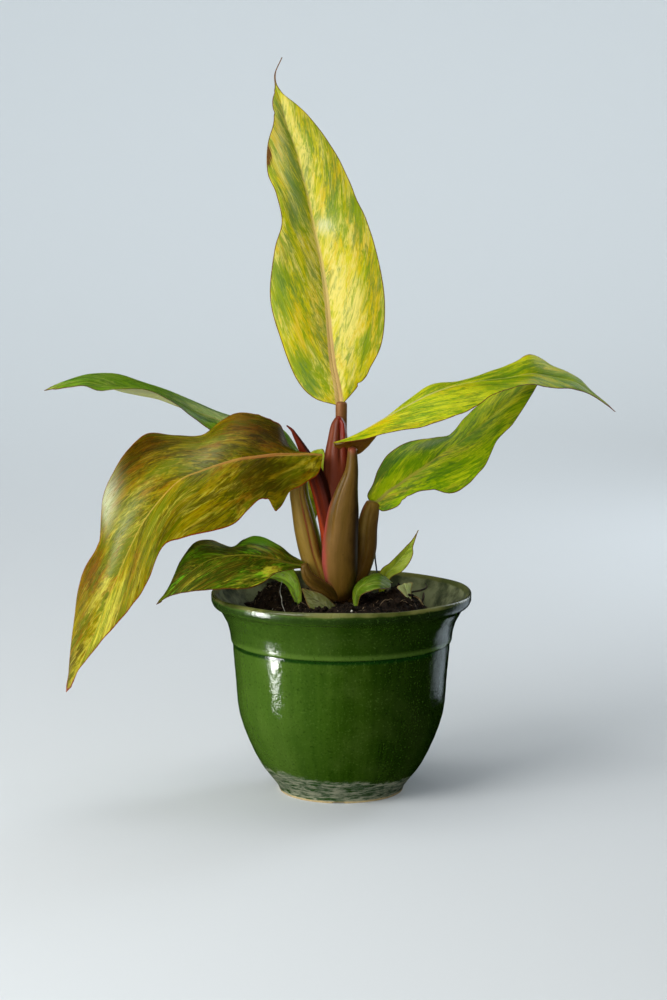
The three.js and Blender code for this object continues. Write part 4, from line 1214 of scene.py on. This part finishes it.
left_back_skin = leaf_finish(
    "left_back_skin", ground=(108, 146, 12), leafy=(72, 118, 4), pale=(180, 190, 96),
    warm=(140, 136, 44), deep=(50, 84, 16), rib=(150, 140, 84), margin=(90, 60, 26),
    under=(188, 190, 134), under_share=0.9, seed=5.0, rib_share=0.75, rib_end=0.7,
)
blade(
    "blade_left_back", "leaf_left_back", left_back_skin, "leaf_green",
    rib=[
        (-26, 6, 230), (-38, 9, 238), (-55, 16, 246), (-70, 20, 251), (-86, 20, 257), (-101, 16, 263),
        (-114, 10, 269), (-126, 5, 274), (-138, -1, 277), (-150, -6, 280), (-161, -11, 284),
        (-172, -15, 287), (-182, -18, 286), (-192, -20, 284), (-201, -22, 281),
    ],
    left=[
        (-26, 2, 229), (-36, 0, 229), (-53, -2, 234), (-73, 4, 240), (-92, 7, 252), (-103, -3, 262),
        (-114, -14, 272), (-127, -23, 280), (-138, -29, 283), (-151, -32, 283), (-163, -34, 282),
        (-173, -33, 285), (-183, -29, 284), (-193, -24, 282), (-201, -22, 281),
    ],
    right=[
        (-27, 10, 233), (-40, 26, 249), (-54, 42, 252), (-69, 50, 254), (-84, 51, 258),
        (-100, 48, 265), (-115, 43, 272), (-128, 37, 278), (-140, 29, 283), (-152, 21, 288),
        (-164, 12, 290), (-174, 3, 290), (-184, -8, 288), (-193, -17, 285), (-201, -22, 281),
    ],
    rise=1.8, rib_wide=1.6, waves=(0.15, 50, 0.0),
    masks={
        "green": (0.44, (0.3, 0.88, 0.8, 0.08, 0.2)),
        "light": (0.15, (0.2, 0.95, 1, 0.04, 0.4), (0.1, 0.3, 0.35, 0.2, 0.55)),
        "ochre": (0.08, (0, 0.97, 1, 0.04, 0.5)),
        "dark": (0.28, (-0.5, 0.4, 0.4, 0.2, 0.2)),
        # A painted sheen on its upper side.
        "bloom": (0.0, (0.3, 0.3, 0.35, 0.12, 0.5)),
    },
)


# Low left leaf: an older small blade low over the rim, leathery and dark olive with brown and yellow
# patches. It is humped on its far half, where it is bright green and lightened with painted light, with a
# painted sheen on its crest, and its foot sits on the low left petiole.

low_left_skin = leaf_finish(
    "low_left_skin", ground=(54, 68, 2), leafy=(122, 196, 20), pale=(232, 220, 60),
    warm=(130, 96, 16), deep=(44, 52, 2), rib=(110, 90, 40), margin=(80, 44, 16),
    under=(90, 100, 50), seed=6.0, rib_share=0.5, rib_end=0.45,
)
blade(
    "blade_low_left", "leaf_low_left", low_left_skin, "leaf_ochre",
    rib=[
        (-22, -20, 161), (-33, -25, 163), (-44, -30, 167), (-55, -36, 170), (-66, -42, 172),
        (-78, -48, 172), (-89, -53, 170), (-98, -58, 165), (-107, -62, 158), (-115, -66, 150),
        (-123, -70, 143),
    ],
    left=[
        (-23, -22, 160), (-34, -31, 160), (-44, -40, 159), (-54, -48, 153), (-65, -56, 151),
        (-78, -62, 152), (-89, -66, 152), (-101, -68, 151), (-109, -69, 150), (-117, -69, 147),
        (-123, -70, 143),
    ],
    right=[
        (-23, -18, 162), (-32, -13, 166), (-44, -10, 174), (-57, -10, 180), (-67, -14, 178),
        (-75, -20, 174), (-88, -30, 180), (-99, -40, 180), (-108, -50, 169), (-115, -60, 154),
        (-123, -70, 143),
    ],
    rise=1.4, rib_wide=1.0, waves=(0.2, 26, 0.0),
    masks={
        "green": (0.14, (0.75, 0.29, 0.4, 0.1, 1.0), (0.25, 0.76, 0.5, 0.12, 0.2)),
        # The light spot on the hump, at 0.7 across, is painted light.
        "light": (0.08, (-0.75, 0.22, 0.45, 0.1, 0.65), (-0.85, 0.4, 0.3, 0.1, 0.35),
                  (0.7, 0.24, 0.3, 0.06, 0.4)),
        "ochre": (0.22, (0.35, 0.2, 0.3, 0.08, 0.5), (-0.5, 0.75, 0.3, 0.08, 0.4),
                  (-0.6, 0.45, 0.3, 0.1, 0.3)),
        "dark": (0.36, (-0.2, 0.5, 0.5, 0.15, 0.35), (-0.75, 0.2, 0.5, 0.12, -0.3),
                 (0.75, 0.3, 0.4, 0.1, -0.3)),
        # A painted sheen on its crest and on the hump.
        "bloom": (0.0, (0.8, 0.54, 0.2, 0.06, 0.4), (0.4, 0.3, 0.2, 0.06, 0.3)),
    },
)


# Back leaf: a middle-sized blade behind the crown, bright yellow green, of which little shows between the
# petioles. It grows from the top of the back petiole and reaches up and back.

back_skin = leaf_finish(
    "back_skin", ground=(170, 182, 20), leafy=(112, 150, 10), pale=(206, 208, 70),
    warm=(160, 130, 30), deep=(80, 110, 16), rib=(180, 160, 100), margin=(100, 60, 24), seed=7.0,
)
blade(
    "blade_back", "leaf_back", back_skin, "leaf_green",
    rib=[
        (-20, 14, 184), (-23, 22, 200), (-25, 36, 215), (-26, 52, 224), (-25, 68, 226), (-24, 80, 225),
    ],
    left=[
        (-21, 13, 184), (-32, 20, 189), (-36, 32, 201), (-35, 48, 213), (-32, 66, 222), (-24, 80, 225),
    ],
    right=[
        (-19, 15, 184), (-16, 22, 193), (-13, 32, 206), (-11, 46, 221), (-13, 64, 231), (-24, 80, 225),
    ],
    rise=0.8, rib_wide=1.6, rib_deep=1.2, rows=120,
    masks={"green": (0.35,), "light": (0.2,), "ochre": (0.1,), "dark": (0.1,)},
)


# Left shoot: the small folded leaf of a shoot at the plant's foot, thin, soft and fresh green. It comes
# straight out of the soil and bends to the left over it.

shoot_skin = leaf_finish(
    "shoot_skin", ground=(200, 244, 84), leafy=(160, 226, 56), pale=(226, 240, 160),
    warm=(140, 130, 40), deep=(50, 84, 14), rib=(150, 176, 90), margin=(90, 90, 30), seed=8.0,
    rib_share=0.5,
)
small = {
    "thick": 0.6, "rib_wide": 0.7, "rib_deep": 0.5, "columns": 72, "rows": 70, "waves": (0.2, 14, 0.0),
    "relief": 0.08,
}
blade(
    "blade_shoot_left", "shoot_left", shoot_skin, "shoot",
    rib=[
        (-29, -18, 128), (-31, -19, 137), (-33, -20, 145), (-39, -20, 151), (-49, -18, 153),
    ],
    left=[
        (-30, -18, 128), (-33, -22, 138), (-38, -25, 148), (-44, -24, 151), (-50, -18, 152),
    ],
    right=[
        (-28, -17, 129), (-27, -15, 140), (-30, -13, 152), (-35, -12, 158), (-48, -16, 155),
    ],
    masks={"green": (0.4,), "light": (0.25,), "ochre": (0.05,), "dark": (0.15,)}, **small,
)


# Arched shoot: a second small soft leaf, darker and streaked. It comes out of the soil in front of the
# stem and arches to the right.

arched_skin = leaf_finish(
    "arched_skin", ground=(88, 114, 18), leafy=(64, 98, 10), pale=(156, 176, 76),
    warm=(120, 104, 34), deep=(46, 66, 10), rib=(120, 140, 60), margin=(90, 70, 30), seed=9.0,
    rib_share=0.5,
)
blade(
    "blade_shoot_arched", "shoot_arched", arched_skin, "shoot",
    rib=[
        (9, -17, 132), (11, -17, 143), (18, -17, 149), (26, -15, 151), (34, -12, 147),
    ],
    left=[
        (8, -15, 133), (8, -9, 143), (15, -7, 150), (26, -5, 153), (37, -10, 146),
    ],
    right=[
        (11, -19, 131), (13, -24, 140), (19, -26, 144), (26, -24, 145), (35, -14, 144),
    ],
    masks={"green": (0.4,), "light": (0.2,), "ochre": (0.1,), "dark": (0.2,)}, **small,
)


# Upright shoot: a third small leaf, pointed and firm, light yellow green and mottled. It stands in the
# soil on the right, behind the petioles, and leans out a little.

upright_skin = leaf_finish(
    "upright_skin", ground=(160, 178, 54), leafy=(116, 146, 28), pale=(186, 196, 100),
    warm=(150, 130, 50), deep=(74, 104, 20), rib=(160, 176, 90), margin=(110, 80, 36), seed=10.0,
    rib_share=0.5,
)
blade(
    "blade_shoot_upright", "shoot_upright", upright_skin, "shoot",
    rib=[
        (28, 16, 129), (30, 18, 146), (36, 19, 153), (43, 20, 161), (49, 21, 169), (54, 22, 179),
    ],
    left=[
        (26, 16, 129), (27, 16, 150), (34, 16, 157), (41, 17, 164), (49, 19, 172), (54, 22, 179),
    ],
    right=[
        (29, 16, 129), (34, 16, 145), (43, 16, 151), (49, 17, 159), (52, 19, 170), (54, 22, 179),
    ],
    masks={"green": (0.35,), "light": (0.3,), "ochre": (0.1,), "dark": (0.12,)}, **small,
)


# Front bract: a papery sheath leaf at the front of the crown, sage green and dull. Its foot is in the
# soil, and its point leans to the left.

bract_skin = leaf_finish(
    "bract_skin", ground=(108, 112, 60), leafy=(84, 98, 40), pale=(150, 152, 104),
    warm=(120, 100, 54), deep=(62, 58, 28), rib=(140, 144, 96), margin=(110, 84, 50), seed=11.0,
    rough=0.5, rib_share=0.4,
)
blade(
    "blade_bract_front", "bract_front", bract_skin, "bract",
    rib=[
        (-2.5, -20.5, 123), (-9, -24.5, 132), (-18, -27, 139.5), (-27, -27, 146),
    ],
    left=[
        (-7.5, -25.5, 123), (-18, -31, 129), (-23, -31, 135.5), (-27, -28, 146),
    ],
    right=[
        (1.5, -18, 124), (-5, -19.5, 134), (-14, -23, 142), (-26, -27, 146),
    ],
    masks={"green": (0.35,), "light": (0.3,), "ochre": (0.15,), "dark": (0.25,)}, **small,
)


# Right bract: the folded tip of another papery sheath leaf, pale sage green, that comes out of the soil
# on the right. It spreads like a small sail from a narrow foot.

pale_bract_skin = leaf_finish(
    "pale_bract_skin", ground=(132, 144, 92), leafy=(100, 118, 62), pale=(166, 174, 128),
    warm=(150, 130, 90), deep=(90, 96, 60), rib=(170, 178, 130), margin=(130, 110, 70), seed=12.0,
    rough=0.5, rib_share=0.4,
)
blade(
    "blade_bract_right", "bract_right", pale_bract_skin, "bract",
    rib=[
        (47.3, -12, 130), (46.8, -11.8, 136), (45.4, -11.2, 141), (44, -10.6, 144.6), (43.2, -10, 147),
    ],
    left=[
        (46.8, -12.2, 130), (44.6, -12.4, 137), (40.6, -12, 141.6), (38.2, -11, 144.4), (43, -10, 147),
    ],
    right=[
        (47.9, -11.8, 130), (48.2, -11, 137), (48.2, -10, 143), (48.8, -9.4, 147), (43.4, -10, 147.2),
    ],
    masks={"green": (0.2,), "light": (0.35,), "ochre": (0.1,), "dark": (0.05,)}, **small,
)


# Aerial root: a thin living root, white and a little fleshy. It comes out under the left shoot and hangs
# down into the soil.

def loose(name, finish, slot, *strands):
    """Thin strands as one piece; each is its radius in mm and then the points that it passes through."""
    bm = bmesh.new()
    for radius, *points in strands:
        strand(bm, points, radius, 8)
    bmesh.ops.recalc_face_normals(bm, faces=bm.faces)
    return finished(name, bm, finish, slot)


def plain(name, dark, light, rough):
    """A dull skin that wanders between two colours, each from 0 to 255."""
    made = Finish(name, rough)
    share = made.step(made.grain(made.place(), 300.0), 0.40, 0.60)
    made.link("Base Color", made.blend(share, tone(*dark), tone(*light)))
    return made


loose(
    "aerial_root", plain("root_white", (130, 128, 114), (182, 180, 168), 0.6), "petiole",
    (
        0.28, (-40.2, -26.6, 151.5), (-41.5, -28, 147), (-41.7, -29, 143.4), (-40.6, -31, 139.7),
        (-40.4, -33, 136.6), (-39, -36, 133.5), (-37.5, -37.5, 130),
    ),
)


# Dark strand: an older aerial root, dried blue black and stiff as wire. It hangs behind the right petiole,
# from its joint to the soil.

loose(
    "dark_strand", plain("root_dark", (40, 44, 56), (66, 72, 86), 0.6), "petiole",
    (
        0.55, (22.6, 8.5, 176), (23.0, 9, 169.8), (23.4, 9.5, 164.8), (23.8, 10, 159.1), (24.7, 11, 152.2),
        (25.6, 12, 144), (25.8, 12, 130),
    ),
)


# Twig: a curled dark twig with one side branch, half rotted wood. It lies in the soil on the right, with
# its ends pressed into it.

loose(
    "twig", plain("twig_dark", (20, 16, 10), (52, 42, 26), 0.8), "soil",
    (
        0.7, (44, -3, 134.5), (46.2, -2, 138.2), (49, -1, 139.1), (51.8, 1, 139.3), (54.7, 3, 139.5),
        (56.8, 5, 139.8), (59, 7, 140.5), (59.5, 8, 141.8), (58.2, 9, 143.9),
    ),
    (0.9, (57.2, 0.5, 138.6), (56.8, -1, 135.6), (56, -3, 131.8)),
)


# Bark strip: a narrow strip of tan bark, dry and fibrous, that bridges a dip of the soil on the right, in
# front of the twig.

loose(
    "bark_strip", plain("bark_tan", (92, 70, 36), (168, 144, 96), 0.8), "soil",
    (0.55, (48.5, -6, 136.2), (50.5, -6, 136.9), (52.3, -6, 136.3), (54.4, -6, 134.4), (56.8, -6, 130.5)),
)


# Grit: a few pale flecks of pumice, hard and rough, pressed into the front of the soil when the plant was
# potted.

GRIT = (((7, -36, 135), 0.9), ((-24, -44, 131), 0.6), ((31, -40, 131.5), 0.7), ((-47, -20, 138), 0.6))
grit_bm = bmesh.new()
for place, size in GRIT:
    fleck = bmesh.ops.create_icosphere(grit_bm, subdivisions=2, radius=size * MM)["verts"]
    for vertex in fleck:
        vertex.co *= 1 + 0.25 * noise.noise(vertex.co * 900 + Vector(place))
    x, y = place[:2]
    bmesh.ops.translate(grit_bm, verts=fleck, vec=Vector((x, y, ground(x, y) + 0.4 * size)) * MM)
finished("grit", grit_bm, plain("pumice", (170, 166, 150), (222, 218, 204), 0.9), "soil")
